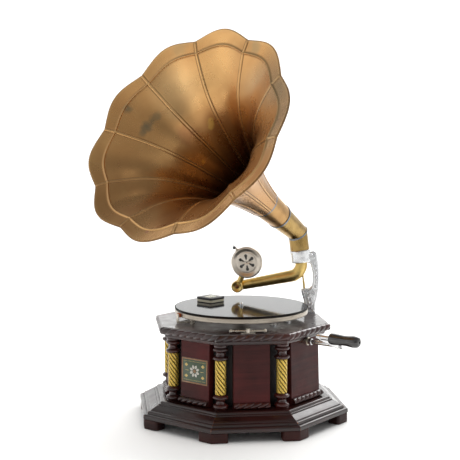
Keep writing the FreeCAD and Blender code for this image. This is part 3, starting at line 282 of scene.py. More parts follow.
def bronze():
    # aged satin brass of the horn's bell; blotchy lacquer, with painted shade darkening it down the throat
    m = Mat("horn_bronze")
    t = m.attr("along")
    # per-vertex attribute: painted shade where above zero, painted highlight where below zero
    shade_and_sheen = m.attr("shade_and_sheen")
    b1 = m.noise(7.5, 3.0, 0.50, 0.3)
    b2 = m.noise(21.0, 3.0, 0.50, 0.5)
    fine = m.noise(170.0, 3.0, 0.6)
    c = m.mix(m.ramp(b1, [(0.30, 0.0), (0.72, 1.0)]), (0.61, 0.315, 0.112), (0.76, 0.440, 0.168))
    c = m.mix(m.ramp(b2, [(0.52, 0.0), (0.78, 0.45)]), c, (0.50, 0.240, 0.088))
    c = m.mix(m.ramp(m.noise(34.0, 3.0, 0.55, 0.6), [(0.58, 0.0), (0.78, 0.18)]), c, (0.80, 0.53, 0.22))
    # painted shade: the bell darkens towards the throat
    throat_shade = m.mapr(m.math("ADD", t, m.math("MULTIPLY", m.math("SUBTRACT", b1, 0.5), 0.16)), 0.38, 0.88, 0.90, 0.0)
    c = m.mix(throat_shade, c, (0.15, 0.070, 0.026))
    c = m.mix(m.mapr(t, 1.05, 1.15, 0.0, 0.75), c, (0.42, 0.236, 0.108))
    for (pt, r, col, amt) in STAINS:
        edge = m.math("ADD", m.dist(pt), m.math("MULTIPLY", m.math("SUBTRACT", m.noise(55.0, 4.0, 0.65), 0.5), r * 1.9))
        c = m.mix(m.mapr(edge, r * 0.45, r * 1.25, amt, 0.0), c, col)
    # painted light and shade: wide, soft differences of tone from petal to petal
    for (pt, r0, r1, col, amt) in LIGHT_SHADE_TONES:
        c = m.mix(m.mapr(m.dist(pt), r0, r1, amt, 0.0), c, col)
    # painted highlight: values below zero lighten the seam ridges, the crease bead and the rim's inner edge
    c = m.mix(m.math("MULTIPLY", shade_and_sheen, -0.75, True), c, (0.84, 0.58, 0.27))
    # painted shade: values above zero darken the crease line, the rolled rim and the seam grooves towards near black,
    # with less metal, coat and specular
    c = m.mix(m.math("MULTIPLY", shade_and_sheen, m.mapr(b2, 0.3, 0.7, 0.62, 0.95), True), c, (0.085, 0.042, 0.018))
    rough = m.math("ADD", m.mapr(b2, 0.25, 0.75, 0.22, 0.36), m.math("MULTIPLY", m.math("SUBTRACT", fine, 0.5), 0.08))
    h = m.math("ADD", m.math("MULTIPLY", b2, 0.6), m.math("MULTIPLY", fine, 0.10))
    m.set(color=c, metal=m.mapr(shade_and_sheen, 0.2, 1.0, 1.0, 0.35), rough=rough, normal=m.bump(h, 0.07, 0.0016), coat=m.mapr(shade_and_sheen, 0.2, 0.9, 0.30, 0.0), coat_rough=0.38, spec=m.mapr(shade_and_sheen, 0.2, 0.9, 0.5, 0.12))
    return m.done()


def horn_pt(t, ang, r):
    p = to_world(HORN, [[r * math.cos(rad(ang)), r * math.sin(rad(ang)), t]])[0]
    return tuple(p * MM)


STAINS = [
    (horn_pt(352.2, 172.0, 131.1), 0.0070, (0.24, 0.195, 0.115), 0.50),
    (horn_pt(350.9, 167.5, 131.4), 0.0090, (0.22, 0.180, 0.105), 0.60),
    (horn_pt(350.3, 163.5, 131.9), 0.0100, (0.21, 0.175, 0.105), 0.60),
    (horn_pt(348.4, 159.0, 129.9), 0.0085, (0.22, 0.180, 0.105), 0.55),
    (horn_pt(347.2, 154.0, 127.3), 0.0070, (0.24, 0.195, 0.115), 0.50),
    (horn_pt(375.9, 161.5, 170.0), 0.0090, (0.22, 0.180, 0.105), 0.65),
    (horn_pt(334.7, 143.5, 109.9), 0.0150, (0.34, 0.225, 0.115), 0.35),
    (horn_pt(303.5, 150.0, 87.4), 0.0180, (0.36, 0.135, 0.060), 0.40),
    (horn_pt(297.2, 115.5, 83.9), 0.0056, (0.74, 0.50, 0.14), 0.90),
    (horn_pt(291.6, 118.0, 81.1), 0.0064, (0.74, 0.50, 0.14), 0.90),
    (horn_pt(287.3, 121.5, 79.0), 0.0046, (0.70, 0.47, 0.13), 0.85),
    (horn_pt(253.6, 166.0, 61.9), 0.0042, (0.60, 0.36, 0.09), 0.80),
    (horn_pt(249.8, 199.5, 60.4), 0.0050, (0.42, 0.20, 0.05), 0.60),
    (horn_pt(381.7, 267.5, 180.7), 0.0032, (0.62, 0.28, 0.17), 0.80),
    (horn_pt(384.0, 62.5, 182.6), 0.0150, (0.40, 0.30, 0.15), 0.55),
    (horn_pt(381.3, 25.5, 176.6), 0.0200, (0.34, 0.225, 0.110), 0.60),
    (horn_pt(385.1, 10.0, 186.7), 0.0200, (0.34, 0.225, 0.110), 0.60),
    (horn_pt(385.8, 115.5, 187.5), 0.0160, (0.46, 0.32, 0.15), 0.45),
]
# painted light and shade on the bell: soft patches that lighten or darken single petals
LIGHT_SHADE_TONES = [
    (horn_pt(365.0, 18.0, 165.0), 0.045, 0.120, (0.31, 0.210, 0.112), 0.74),
    (horn_pt(350.3, 46.0, 135.0), 0.020, 0.060, (0.52, 0.355, 0.195), 0.45),
    (horn_pt(357.0, 238.0, 142.0), 0.040, 0.130, (0.40, 0.190, 0.070), 0.40),
    (horn_pt(356.0, 129.0, 140.0), 0.018, 0.058, (1.0, 0.625, 0.275), 0.75),
]


def brass(name, lo, hi, tarnish, r0, r1, streak=(260, 260, 14), shaded_bore=None):
    m = Mat(name)
    s = m.noise(1.0, 4.0, 0.6, 0.2, m.mapping(scale=streak))
    b = m.noise(26.0, 5.0, 0.6, 0.6)
    f = m.noise(190.0, 3.0, 0.6)
    c = m.mix(m.ramp(b, [(0.3, 0.0), (0.7, 1.0)]), lo, hi)
    c = m.mix(m.ramp(m.noise(48.0, 5.0, 0.65, 1.0), [(0.55, 0.0), (0.75, 0.6)]), c, tarnish)
    if shaded_bore:              # painted shade: inside of the cone about the horn's axis, darkened to near black
        q = [m.math("SUBTRACT", a, float(o) / 1000) for a, o in zip(m.sep(), HORN[0])]
        t = m.math("ADD", m.math("MULTIPLY", q[1], float(HN[1])), m.math("MULTIPLY", q[2], float(HN[2])))
        qq = m.math("ADD", m.math("ADD", m.math("MULTIPLY", q[0], q[0]), m.math("MULTIPLY", q[1], q[1])), m.math("MULTIPLY", q[2], q[2]))
        rr = m.math("SQRT", m.math("SUBTRACT", qq, m.math("MULTIPLY", t, t)))
        depth = m.math("SUBTRACT", m.math("ADD", shaded_bore[0], m.math("MULTIPLY", t, shaded_bore[1])), rr)
        c = m.mix(m.mapr(depth, 0.0003, 0.0006, 0.0, 0.96), c, (0.045, 0.020, 0.008))
    rough = m.math("ADD", m.mapr(b, 0.3, 0.7, r0, r1), m.math("MULTIPLY", m.math("SUBTRACT", s, 0.5), 0.14))
    m.set(color=c, metal=1.0, rough=rough, normal=m.bump(m.math("ADD", s, m.math("MULTIPLY", f, 0.4)), 0.035, 0.0004))
    return m.done()


M_BRASS = brass("arm_brass", (0.64, 0.450, 0.150), (0.80, 0.585, 0.225), (0.46, 0.295, 0.100), 0.30, 0.40)
M_ELBOW = brass("elbow_brass", (0.35, 0.225, 0.074), (0.49, 0.330, 0.128), (0.20, 0.115, 0.044), 0.24, 0.36)
# painted shade inside the collar's cone
M_COLLAR = brass("collar_brass", (0.42, 0.240, 0.096), (0.57, 0.350, 0.150), (0.25, 0.130, 0.052), 0.28, 0.40, shaded_bore=(0.0186, 8.6 / 129.0))
M_GEAR = brass("gear_brass", (0.46, 0.32, 0.10), (0.58, 0.42, 0.16), (0.30, 0.19, 0.07), 0.24, 0.36)


def metal(name, lo, hi, spot, r0, r1, streak=(200, 200, 200), scale=30.0, bump=0.05, shade_above_z=None):
    m = Mat(name)
    s = m.noise(1.0, 4.0, 0.6, 0.2, m.mapping(scale=streak))
    b = m.noise(scale, 5.0, 0.6, 0.4)
    c = m.mix(m.ramp(b, [(0.3, 0.0), (0.7, 1.0)]), lo, hi)
    c = m.mix(m.ramp(m.noise(scale * 3.1, 4.0, 0.65, 0.6), [(0.58, 0.0), (0.74, 0.55)]), c, spot)
    if shade_above_z:           # painted shade: near black above this height, the recess under the record's edge
        c = m.mix(m.mapr(m.sep()[2], shade_above_z, shade_above_z + 0.0004, 0.0, 0.97), c, (0.010, 0.009, 0.008))
    m.set(color=c, metal=1.0, rough=m.math("ADD", m.mapr(b, 0.3, 0.7, r0, r1), m.math("MULTIPLY", m.math("SUBTRACT", s, 0.5), 0.10)), normal=m.bump(s, bump, 0.0004))
    return m.done()


M_NICKEL = metal("old_nickel", (0.47, 0.42, 0.35), (0.62, 0.57, 0.49), (0.34, 0.28, 0.21), 0.22, 0.34)
# painted shade in the recess under the record's edge, from z 203 mm up
M_RIM = metal("platter_nickel", (0.40, 0.350, 0.290), (0.50, 0.445, 0.375), (0.33, 0.285, 0.23), 0.26, 0.36, (30, 30, 420), 30.0, 0.02, 0.2030)
M_BOX = metal("box_nickel", (0.58, 0.515, 0.435), (0.76, 0.695, 0.61), (0.40, 0.34, 0.27), 0.27, 0.37)
M_ALLOY = metal("cast_alloy", (0.78, 0.785, 0.80), (0.96, 0.965, 0.97), (0.36, 0.365, 0.38), 0.20, 0.34, (90, 90, 90), 62.0, 0.10)
M_STEEL = metal("steel", (0.36, 0.36, 0.37), (0.50, 0.50, 0.51), (0.22, 0.20, 0.19), 0.28, 0.42)
M_BRIGHT = metal("bright_steel", (0.66, 0.66, 0.66), (0.78, 0.78, 0.78), (0.34, 0.33, 0.32), 0.14, 0.26)
M_SOLDER = metal("solder", (0.21, 0.225, 0.25), (0.33, 0.35, 0.385), (0.12, 0.12, 0.13), 0.34, 0.50, (160, 160, 160), 60.0, 0.2)


def record_mat():
    # pressed disc: fine grooves as rings
    m = Mat("shellac")
    x, y, z = m.sep()
    r = m.math("SQRT", m.math("ADD", m.math("MULTIPLY", x, x), m.math("MULTIPLY", y, y)))
    bands = m.noise(1.0, 6.0, 0.75, 0.0, m.comb(m.math("MULTIPLY", r, 900.0), 0.0, 0.0))
    wide = m.noise(1.0, 2.0, 0.5, 0.0, m.comb(m.math("MULTIPLY", r, 120.0), 3.0, 0.0))
    dust = m.noise(320.0, 3.0, 0.7)
    c = m.mix(wide, (0.010, 0.010, 0.011), (0.020, 0.020, 0.021))
    c = m.mix(m.ramp(dust, [(0.70, 0.0), (0.80, 0.35)]), c, (0.10, 0.10, 0.10))
    # dull black rounded edge
    edge = m.mapr(r, 0.1226, 0.1234, 0.0, 1.0)
    c = m.mix(edge, c, (0.004, 0.004, 0.004))
    rough = m.math("ADD", m.mapr(wide, 0.2, 0.8, 0.055, 0.10), m.math("MULTIPLY", edge, 0.45))
    m.set(color=c, rough=rough, normal=m.bump(bands, 0.05, 0.0002), spec=m.mapr(edge, 0.0, 1.0, 0.25, 0.06))
    return m.done()


M_RECORD = record_mat()


def paint(name, lo, hi, chip, chip_at, rough, coat=0.3, scale=55.0, speck=None):
    m = Mat(name)
    b = m.noise(scale, 4.0, 0.6, 0.3)
    c = m.mix(m.ramp(b, [(0.3, 0.0), (0.7, 1.0)]), lo, hi)
    e = m.noise(scale * 3.4, 5.0, 0.7, 0.4)
    c = m.mix(m.ramp(e, [(chip_at, 0.0), (chip_at + 0.06, 0.85)]), c, chip)
    if speck:
        c = m.mix(m.ramp(m.noise(scale * 9.0, 2.0, 0.6), [(0.60, 0.0), (0.68, 0.6)]), c, speck)
    m.set(color=c, rough=m.mapr(b, 0.3, 0.7, rough * 0.8, rough * 1.25), coat=coat, coat_rough=0.1, normal=m.bump(e, 0.08, 0.0003))
    return m.done()


M_GRIP = paint("grip_lacquer", (0.006, 0.005, 0.005), (0.014, 0.012, 0.012), (0.05, 0.04, 0.035), 0.74, 0.16, 1.0, 40.0)
M_TIN_B = paint("tin_black", (0.012, 0.012, 0.014), (0.030, 0.030, 0.034), (0.22, 0.21, 0.18), 0.70, 0.42, 0.15, 120.0)
M_TIN_C = paint("tin_cream", (0.52, 0.49, 0.36), (0.66, 0.63, 0.49), (0.12, 0.11, 0.09), 0.66, 0.35, 0.3, 140.0, (0.18, 0.17, 0.13))
M_FELT = paint("felt", (0.05, 0.012, 0.012), (0.09, 0.02, 0.02), (0.12, 0.04, 0.04), 0.62, 0.95, 0.0, 420.0)
M_PAD = paint("pad_leather", (0.34, 0.075, 0.020), (0.50, 0.13, 0.035), (0.16, 0.04, 0.02), 0.66, 0.72, 0.0, 240.0)
M_MICA = paint("mica", (0.05, 0.045, 0.04), (0.10, 0.09, 0.08), (0.20, 0.18, 0.15), 0.72, 0.3, 0.4, 120.0)
M_GREEN = paint("plaque_green", (0.022, 0.048, 0.018), (0.040, 0.075, 0.028), (0.012, 0.020, 0.010), 0.70, 0.34, 0.5, 90.0)
M_FRAME = paint("plaque_border", (0.20, 0.085, 0.025), (0.33, 0.155, 0.045), (0.06, 0.03, 0.015), 0.70, 0.36, 0.5, 130.0)
M_GOLDLINE = paint("plaque_gold", (0.52, 0.36, 0.085), (0.70, 0.52, 0.15), (0.10, 0.06, 0.02), 0.66, 0.34, 0.4, 160.0)
M_CREAM = paint("plaque_cream", (0.50, 0.47, 0.40), (0.66, 0.63, 0.56), (0.20, 0.17, 0.12), 0.70, 0.38, 0.4, 140.0)
M_GROUND = paint("plaque_ground", (0.020, 0.008, 0.007), (0.034, 0.012, 0.010), (0.008, 0.004, 0.004), 0.72, 0.30, 0.6, 70.0)
M_BRONZE = bronze()
M_PADMETAL = metal("rusty_screw", (0.26, 0.13, 0.06), (0.40, 0.22, 0.10), (0.14, 0.06, 0.03), 0.38, 0.55)

NODE_MATS = {
    "niche_backs": M_NICHE, "bottom_board": M_NICHE, "wall_panels": M_PANEL, "feet": M_FOOT, "plinth_moulding": M_PLINTH,
    "frieze_rails": M_CARVED, "top_board": M_BOARD, "top_rope_moulding": M_CARVED, "lower_rope_mouldings": M_CARVED,
    "column_bases": M_TURNED, "column_capitals": M_TURNED, "column_twists": M_GILT, "front_plaque": M_GROUND,
    "crank_bush": M_NICKEL, "crank_shaft": M_BRIGHT, "crank_arm": M_BRIGHT, "grip_spindle": M_BRIGHT, "crank_grip": M_GRIP,
    "speed_plate": M_NICKEL, "speed_lever": M_NICKEL, "brake_post": M_NICKEL, "brake_lever": M_NICKEL, "brake_pad": M_PAD,
    "platter": M_RIM, "spindle": M_NICKEL, "spindle_gears": M_GEAR, "felt_mat": M_FELT, "record": M_RECORD,
    "needle_tin_base": M_TIN_C, "needle_tin_lid": M_TIN_B, "bracket_casting": M_ALLOY, "bracket_screws": M_BRIGHT,
    "tonearm_tube": M_BRASS, "tonearm_pivot_pin": M_BRASS, "flip_screw": M_NICKEL, "gooseneck": M_BRASS,
    "soundbox_back": M_BOX, "soundbox_front": M_BOX, "diaphragm": M_MICA, "needle_bar": M_NICKEL, "needle_screw": M_GRIP, "needle": M_BRIGHT,
    "horn_tube": M_ELBOW, "horn_elbow": M_ELBOW, "horn_collar": M_COLLAR, "solder_rings": M_SOLDER,
    "horn_petals": M_BRONZE, "horn_seams": M_BRONZE, "horn_rim_wire": M_BRONZE,
    "motor_plates": M_STEEL, "motor_pillars": M_BRIGHT, "motor_bolts": M_BRIGHT, "spring_barrel": M_STEEL, "barrel_cover": M_BRIGHT,
    "mainspring": M_STEEL, "winding_arbor": M_BRIGHT, "bevel_pinion": M_STEEL, "bevel_wheel": M_STEEL, "governor_shaft": M_BRIGHT, "governor_weights": M_GEAR,
}
for name, ob in NODES.items():
    mt = NODE_MATS[name]
    ob.data.materials.clear()
    ob.data.materials.append(mt)
    for s in ob.material_slots:
        s.material = mt


# ------------------------------------------------------------------ mesh helpers
def build(name, verts, faces, mat, body, nodes=(), slot=None, sharp=32.0, attrs=None, fix=True):
    me = bpy.data.meshes.new(name)
    me.from_pydata((np.asarray(verts, float) * MM).tolist(), [], [list(map(int, f)) for f in faces])
    for k, vals in (attrs or {}).items():
        a = me.attributes.new(k, "FLOAT", "POINT")
        a.data.foreach_set("value", np.asarray(vals, np.float32))
    if fix:
        bm = bmesh.new()
        bm.from_mesh(me)
        bmesh.ops.recalc_face_normals(bm, faces=bm.faces)
        bm.to_mesh(me)
        bm.free()
    me.shade_smooth()
    me.set_sharp_from_angle(angle=rad(sharp))
    mats = mat if isinstance(mat, (list, tuple)) else [mat]
    for m in mats:
        me.materials.append(m)
    ob = bpy.data.objects.new(name, me)
    bpy.context.scene.collection.objects.link(ob)
    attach(ob, body)
    if nodes:
        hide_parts(*nodes)
    return ob


class Shape:
    """Gathers closed pieces into one mesh."""

    def __init__(self):
        self.v, self.f, self.n = [], [], 0
        self.attr = {}

    def add(self, verts, faces, **attrs):
        verts = np.asarray(verts, float)
        self.v.append(verts)
        self.f += [[i + self.n for i in f] for f in faces]
        for k in set(self.attr) | set(attrs):
            if k not in self.attr:
                self.attr[k] = [np.zeros(self.n)]
            self.attr[k].append(np.asarray(attrs.get(k, np.zeros(len(verts))), float))
        self.n += len(verts)

    def make(self, name, mat, body, nodes=(), slot=None, sharp=32.0):
        return build(name, np.concatenate(self.v), self.f, mat, body, nodes, slot, sharp, {k: np.concatenate(a) for k, a in self.attr.items()})


def grid_faces(nu, nv, close_u=False, close_v=False):
    f = []
    for i in range(nu if close_u else nu - 1):
        for j in range(nv if close_v else nv - 1):
            a, b = i * nv + j, i * nv + (j + 1) % nv
            c, d = ((i + 1) % nu) * nv + (j + 1) % nv, ((i + 1) % nu) * nv + j
            f.append((a, b, c, d))
    return f


def lathe(profile, seg, fr, loop=False):
    """profile of (r, h); open profiles close on the axis where r is 0"""
    verts, rings = [], []
    for r, h in profile:
        if r < 1e-6:
            rings.append([len(verts)])
            verts.append((0, 0, h))
        else:
            rings.append(list(range(len(verts), len(verts) + seg)))
            for k in range(seg):
                a = 2 * math.pi * k / seg
                verts.append((r * math.cos(a), r * math.sin(a), h))
    faces = []
    n = len(rings)
    for i in range(n if loop else n - 1):
        p, q = rings[i], rings[(i + 1) % n]
        for k in range(seg):
            k1 = (k + 1) % seg
            if len(p) == 1 and len(q) == 1:
                continue
            if len(p) == 1:
                faces.append((p[0], q[k1], q[k]))
            elif len(q) == 1:
                faces.append((p[k], p[k1], q[0]))
            else:
                faces.append((p[k], p[k1], q[k1], q[k]))
    return to_world(fr, verts), faces


def arc(cx, cy, r, a0, a1, n):
    return [(cx + r * math.cos(rad(a0 + (a1 - a0) * i / n)), cy + r * math.sin(rad(a0 + (a1 - a0) * i / n))) for i in range(n + 1)]


def smooth_line(pts, n=6):
    """Catmull-Rom through the points, ends kept"""
    p = np.asarray(pts, float)
    q = np.vstack([2 * p[0] - p[1], p, 2 * p[-1] - p[-2]])
    out = []
    for i in range(1, len(q) - 2):
        for k in range(n):
            t = k / n
            a, b, c, d = q[i - 1], q[i], q[i + 1], q[i + 2]
            out.append(0.5 * (2 * b + (c - a) * t + (2 * a - 5 * b + 4 * c - d) * t * t + (3 * b - a - 3 * c + d) * t ** 3))
    out.append(p[-1])
    return np.array(out)


def sweep(path, radii, seg=32, caps=True):
    """round bar along a path"""
    path = np.asarray(path, float)
    n = len(path)
    tang = np.gradient(path, axis=0)
    tang /= np.linalg.norm(tang, axis=1)[:, None]
    up = np.array([0.0, 0, 1]) if abs(tang[0][2]) < 0.9 else np.array([1.0, 0, 0])
    side = np.cross(tang[0], up)
    side /= np.linalg.norm(side)
    verts = []
    for i in range(n):
        side = side - tang[i] * (side @ tang[i])
        side /= np.linalg.norm(side)
        other = np.cross(tang[i], side)
        for k in range(seg):
            a = 2 * math.pi * k / seg
            verts.append(path[i] + radii[i] * (math.cos(a) * side + math.sin(a) * other))
    faces = grid_faces(n, seg, False, True)
    if caps:
        faces.append(tuple(range(seg))[::-1])
        faces.append(tuple((n - 1) * seg + k for k in range(seg)))
    return np.array(verts), faces


def block(lo, hi, bevel=0.6, seg=2):
    """box with rounded edges"""
    bm = bmesh.new()
    bmesh.ops.create_cube(bm, size=1.0)
    lo, hi = np.asarray(lo, float), np.asarray(hi, float)
    for v in bm.verts:
        v.co = Vector((lo + hi) / 2 + np.array(v.co) * (hi - lo))
    if bevel > 0:
        bmesh.ops.bevel(bm, geom=list(bm.edges), offset=bevel, segments=seg, profile=0.5, affect="EDGES")
    return take(bm)


def take(bm):
    bm.verts.ensure_lookup_table()
    bm.verts.index_update()
    v = np.array([tuple(x.co) for x in bm.verts])
    f = [[x.index for x in p.verts] for p in bm.faces]
    bm.free()
    return v, f


def plate(outline, h0, h1, bevel=0.8, seg=2, both=True, min_angle=0.0):
    """flat piece: outline in its plane (x, y), from h0 to h1, edges rounded"""
    bm = bmesh.new()
    vs = [bm.verts.new((x, y, h0)) for x, y in outline]
    face = bm.faces.new(vs)
    r = bmesh.ops.extrude_face_region(bm, geom=[face])
    top = [x for x in r["geom"] if isinstance(x, bmesh.types.BMVert)]
    for v in top:
        v.co.z = h1
    bmesh.ops.recalc_face_normals(bm, faces=bm.faces)
    if bevel > 0:
        edges = [e for e in bm.edges if abs(e.verts[0].co.z - e.verts[1].co.z) < 1e-6 and (both or e.verts[0].co.z > (h0 + h1) / 2)]
        bmesh.ops.bevel(bm, geom=edges, offset=bevel, segments=seg, profile=0.5, affect="EDGES", clamp_overlap=True)
    return take(bm)


def round_poly(pts, radius, n=4):
    out = []
    m = len(pts)
    for i in range(m):
        p0, p, p1 = (np.asarray(pts[j % m], float) for j in (i - 1, i, i + 1))
        rr = radius[i] if hasattr(radius, "__len__") else radius
        if rr <= 0:
            out.append(tuple(p))
            continue
        a, b = (p0 - p) / np.linalg.norm(p0 - p), (p1 - p) / np.linalg.norm(p1 - p)
        ang = math.acos(max(-1, min(1, a @ b)))
        d = min(rr / math.tan(ang / 2), 0.48 * np.linalg.norm(p0 - p), 0.48 * np.linalg.norm(p1 - p))
        s, e = p + a * d, p + b * d
        for k in range(n + 1):
            t = k / n
            out.append(tuple((1 - t) ** 2 * s + 2 * t * (1 - t) * p + t * t * e))
    return out


# ------------------------------------------------------------------ cabinet
def rail(profile, mat, name, nodes, slot, nu=30, gap=0.18, marks=(), sharp=32.0):
    """mouldings in eight mitred lengths; marks are profile points whose edge is worn"""
    sh = Shape()
    prof = np.asarray(profile, float)
    n = len(prof)
    us = np.concatenate([[-1, -0.985, -0.96], np.linspace(-0.93, 0.93, nu), [0.96, 0.985, 1]])
    edge = np.zeros(n)
    for i in marks:
        edge[i] = 1.0
    for k in range(8):
        vs, wr = [], []
        for u in us:
            w = prof[:, 0] * T8 - gap
            x = u * w
            vs.append(np.stack([x, -prof[:, 0], prof[:, 1]], 1))
            d = (1 - abs(u)) * w
            wr.append(np.maximum(np.exp(-d / np.where(prof[:, 0] > 176.0, 4.2, 1.6)), edge * 0.62))
        v = rot_z(np.concatenate(vs), 45 * k)
        f = grid_faces(len(us), n, False, True)
        f.append(tuple(range(n)))
        f.append(tuple((len(us) - 1) * n + i for i in range(n))[::-1])
        sh.add(v, f, wear=np.concatenate(wr))
    return sh.make(name, mat, "cabinet", nodes, slot, sharp)


pl = [(120.0, 18.0), (186.6, 18.0)]
pl += arc(186.6, 18.9, 0.9, -90, 0, 3)
i_slab = len(pl)
pl += arc(184.2, 23.0, 3.3, 0, 90, 7)
pl += [(182.0, 26.25), (181.4, 25.3), (180.2, 25.2), (179.9, 26.0)]
pl += arc(176.7, 28.0, 3.2, 8, 96, 8)
pl += [(174.6, 31.1), (174.1, 32.2)]
pl += [(173.4, 32.9), (169.0, 35.4), (165.0, 37.7), (161.8, 39.5), (161.0, 39.4), (160.3, 38.9), (159.9, 39.0)]
pl += arc(157.6, 39.8, 2.2, 10, 105, 6)
pl += [(156.5, 41.2), (156.0, 41.4), (155.8, 42.2)]
pl += arc(153.0, 43.2, 2.8, 8, 90, 6)
pl += [(150.0, 46.0), (120.0, 46.0)]
rail(pl, M_PLINTH, "plinth_lengths", ["plinth_moulding"], "wood", 34, 0.16, (2, 3, 4, 5, i_slab))

# feet
R_SLAB = 186.5 / C8
c0 = az_pt(22.5, R_SLAB)[:2]
t0, i0 = np.array([-1.0, 0]), np.array([0, 1.0])
t1, i1 = np.array([math.cos(rad(45)), math.sin(rad(45))]), np.array([-math.sin(rad(45)), math.cos(rad(45))])
inn = az_pt(22.5, R_SLAB - 22.0 / C8)[:2]
fp = [c0, c0 + t0 * 30, c0 + t0 * 30 + i0 * 22, inn, c0 + t1 * 30 + i1 * 22, c0 + t1 * 30]
fp = round_poly([tuple(p) for p in fp], [5, 6, 2, 2, 2, 6], 6)
feet = Shape()
fv, ff = plate(fp, 0.0, 17.95, 2.4, 3)
for k in range(8):
    lowz = np.clip(1 - fv[:, 2] / 6.0, 0, 1)
    feet.add(rot_z(fv, 45 * k), ff, wear=0.45 * lowz + 0.12)
feet.make("foot_blocks", M_FOOT, "cabinet", ["feet"], "wood", 40)


def wall_ap(z):
    return 138.0 - 3.0 * (z - 46.0) / 115.0


# wall panels, each a board with eased edges
COL_AZ = (-67.5, -22.5, 22.5, 67.5)
walls = Shape()
for k in range(-3, 5):
    a = 45 * k
    left = 32.5 if (a - 22.5) in COL_AZ else None
    right = 32.5 if (a + 22.5) in COL_AZ else None
    nz, nx = 14, 14
    zs = np.concatenate([[46.0, 46.6], np.linspace(48, 159, nz), [160.4, 161.0]])
    rows, wr = [], []
    e = 0.6
    for z in zs:
        ap = wall_ap(z) - (0.5 if z in (46.0, 161.0) else 0.0)
        l1 = -left if left else -ap * T8 + 0.12
        r1 = right if right else ap * T8 - 0.12
        l0 = -left if left else -(ap - 12) * T8 + 0.12
        r0 = right if right else (ap - 12) * T8 - 0.12
        xs = np.concatenate([[l1 + e], np.linspace(l1 + 2.5, r1 - 2.5, nx), [r1 - e]])
        ring = [(l0, -(ap - 12)), (l1, -(ap - e))] + [(x, -ap) for x in xs] + [(r1, -(ap - e)), (r0, -(ap - 12))]
        rows.append([(x, y, z) for x, y in ring])
        wr.append([0.0, 0.55] + [0.45 if i in (0, len(xs) - 1) else 0.0 for i in range(len(xs))] + [0.55, 0.0])
    nr = len(rows[0])
    v = np.array(rows).reshape(-1, 3)
    f = grid_faces(len(rows), nr, False, True)
    f.append(tuple(range(nr)))
    f.append(tuple((len(rows) - 1) * nr + i for i in range(nr))[::-1])
    walls.add(rot_z(v, a), f, wear=np.array(wr).reshape(-1))
walls.make("wall_boards", M_PANEL, "cabinet", ["wall_panels"], "wood", 40)

fr = [(118.0, 161.05), (142.6, 161.05), (143.6, 161.3)]
fr += arc(143.6, 164.0, 2.6, -88, -4, 5)
fr += [(146.6, 164.0), (147.0, 164.4), (147.0, 167.6), (146.7, 167.95), (118.0, 167.95)]
rail(fr, M_CARVED, "frieze_lengths", ["frieze_rails"], "wood", 10, 0.12)


def rope_rail(ap0, z_mid, out, half_h, pitch, slant, k, x0, x1, mitre, depth=0.42, wear=0.0, lean=0.0):
    """half round bar carved as a rope: rounded slanting lobes"""
    nth = 17
    n_lobe = max(1, round((x1 - x0) / pitch))
    pt = (x1 - x0) / n_lobe
    ns = n_lobe * 14 + 1
    ss = np.linspace(0, 1, ns)
    th = np.linspace(-90, 90, nth)
    rows, cavs = [], []
    for s in ss:
        row, cav = [], []
        for j, t in enumerate(th):
            o = math.cos(rad(t))
            hz = math.sin(rad(t))
            a_here = ap0 + out * o
            xa, xb = (-(a_here * T8) + 0.1, a_here * T8 - 0.1) if mitre == "both" else (x0, x1)
            if mitre == "left":
                xa, xb = -(a_here * T8) + 0.1, x1
            if mitre == "right":
                xa, xb = x0, a_here * T8 - 0.1
            x = xa + (xb - xa) * s
            u = (x0 + (x1 - x0) * s - half_h * hz * slant) / pt
            w = u - math.floor(u)
            lobe = math.sqrt(max(0.0, 1 - (2 * w - 1) ** 2 * 0.96))
            g = 1 - depth * (1 - lobe)
            # leaf shape: lobes sink towards their two ends
            gg = g * (1.0 - 0.06 * abs(hz))
            row.append((x, -(ap0 + out * o * gg + lean * hz), z_mid + half_h * hz * (0.90 + 0.10 * g)))
            cav.append(1 - lobe)
        row.append((row[-1][0], -(ap0 - 1.5), row[-1][2]))
        row.insert(0, (row[0][0], -(ap0 - 1.5), row[0][2]))
        cav.append(0.5)
        cav.insert(0, 0.5)
        rows.append(row)
        cavs.append(cav)
    nv = nth + 2
    v = np.array(rows).reshape(-1, 3)
    f = grid_faces(ns, nv, False, True)
    f.append(tuple(range(nv)))
    f.append(tuple((ns - 1) * nv + i for i in range(nv))[::-1])
    cv = np.array(cavs).reshape(-1)
    return rot_z(v, 45 * k), f, cv


top_rope = Shape()
for k in range(8):
    L = 154.0 * T8
    v, f, cv = rope_rail(151.6, 175.0, 5.9, 6.5, 15.5, 1.15, k, -L, L, "both", 0.62)
    top_rope.add(v, f, wear=np.clip(0.35 - cv, 0, 1))
top_rope.make("top_rope", M_CARVED, "cabinet", ["top_rope_moulding"], "carved_wood", 50)

low_rope = Shape()
for k in range(-3, 5):
    a = 45 * k
    left = 32.3 if (a - 22.5) in COL_AZ else None
    right = 32.3 if (a + 22.5) in COL_AZ else None
    ap = 138.4
    x0 = -left if left else -(ap + 3) * T8
    x1 = right if right else (ap + 3) * T8
    mit = "both" if left is None and right is None else "left" if left is None else "right" if right is None else "none"
    v, f, cv = rope_rail(ap, 52.0, 7.2, 5.8, 12.4, 1.0, k, x0, x1, mit, 0.66)
    low_rope.add(v, f, wear=np.clip(0.4 - cv, 0, 1))
low_rope.make("lower_ropes", M_CARVED, "cabinet", ["lower_rope_mouldings"], "carved_wood", 50)

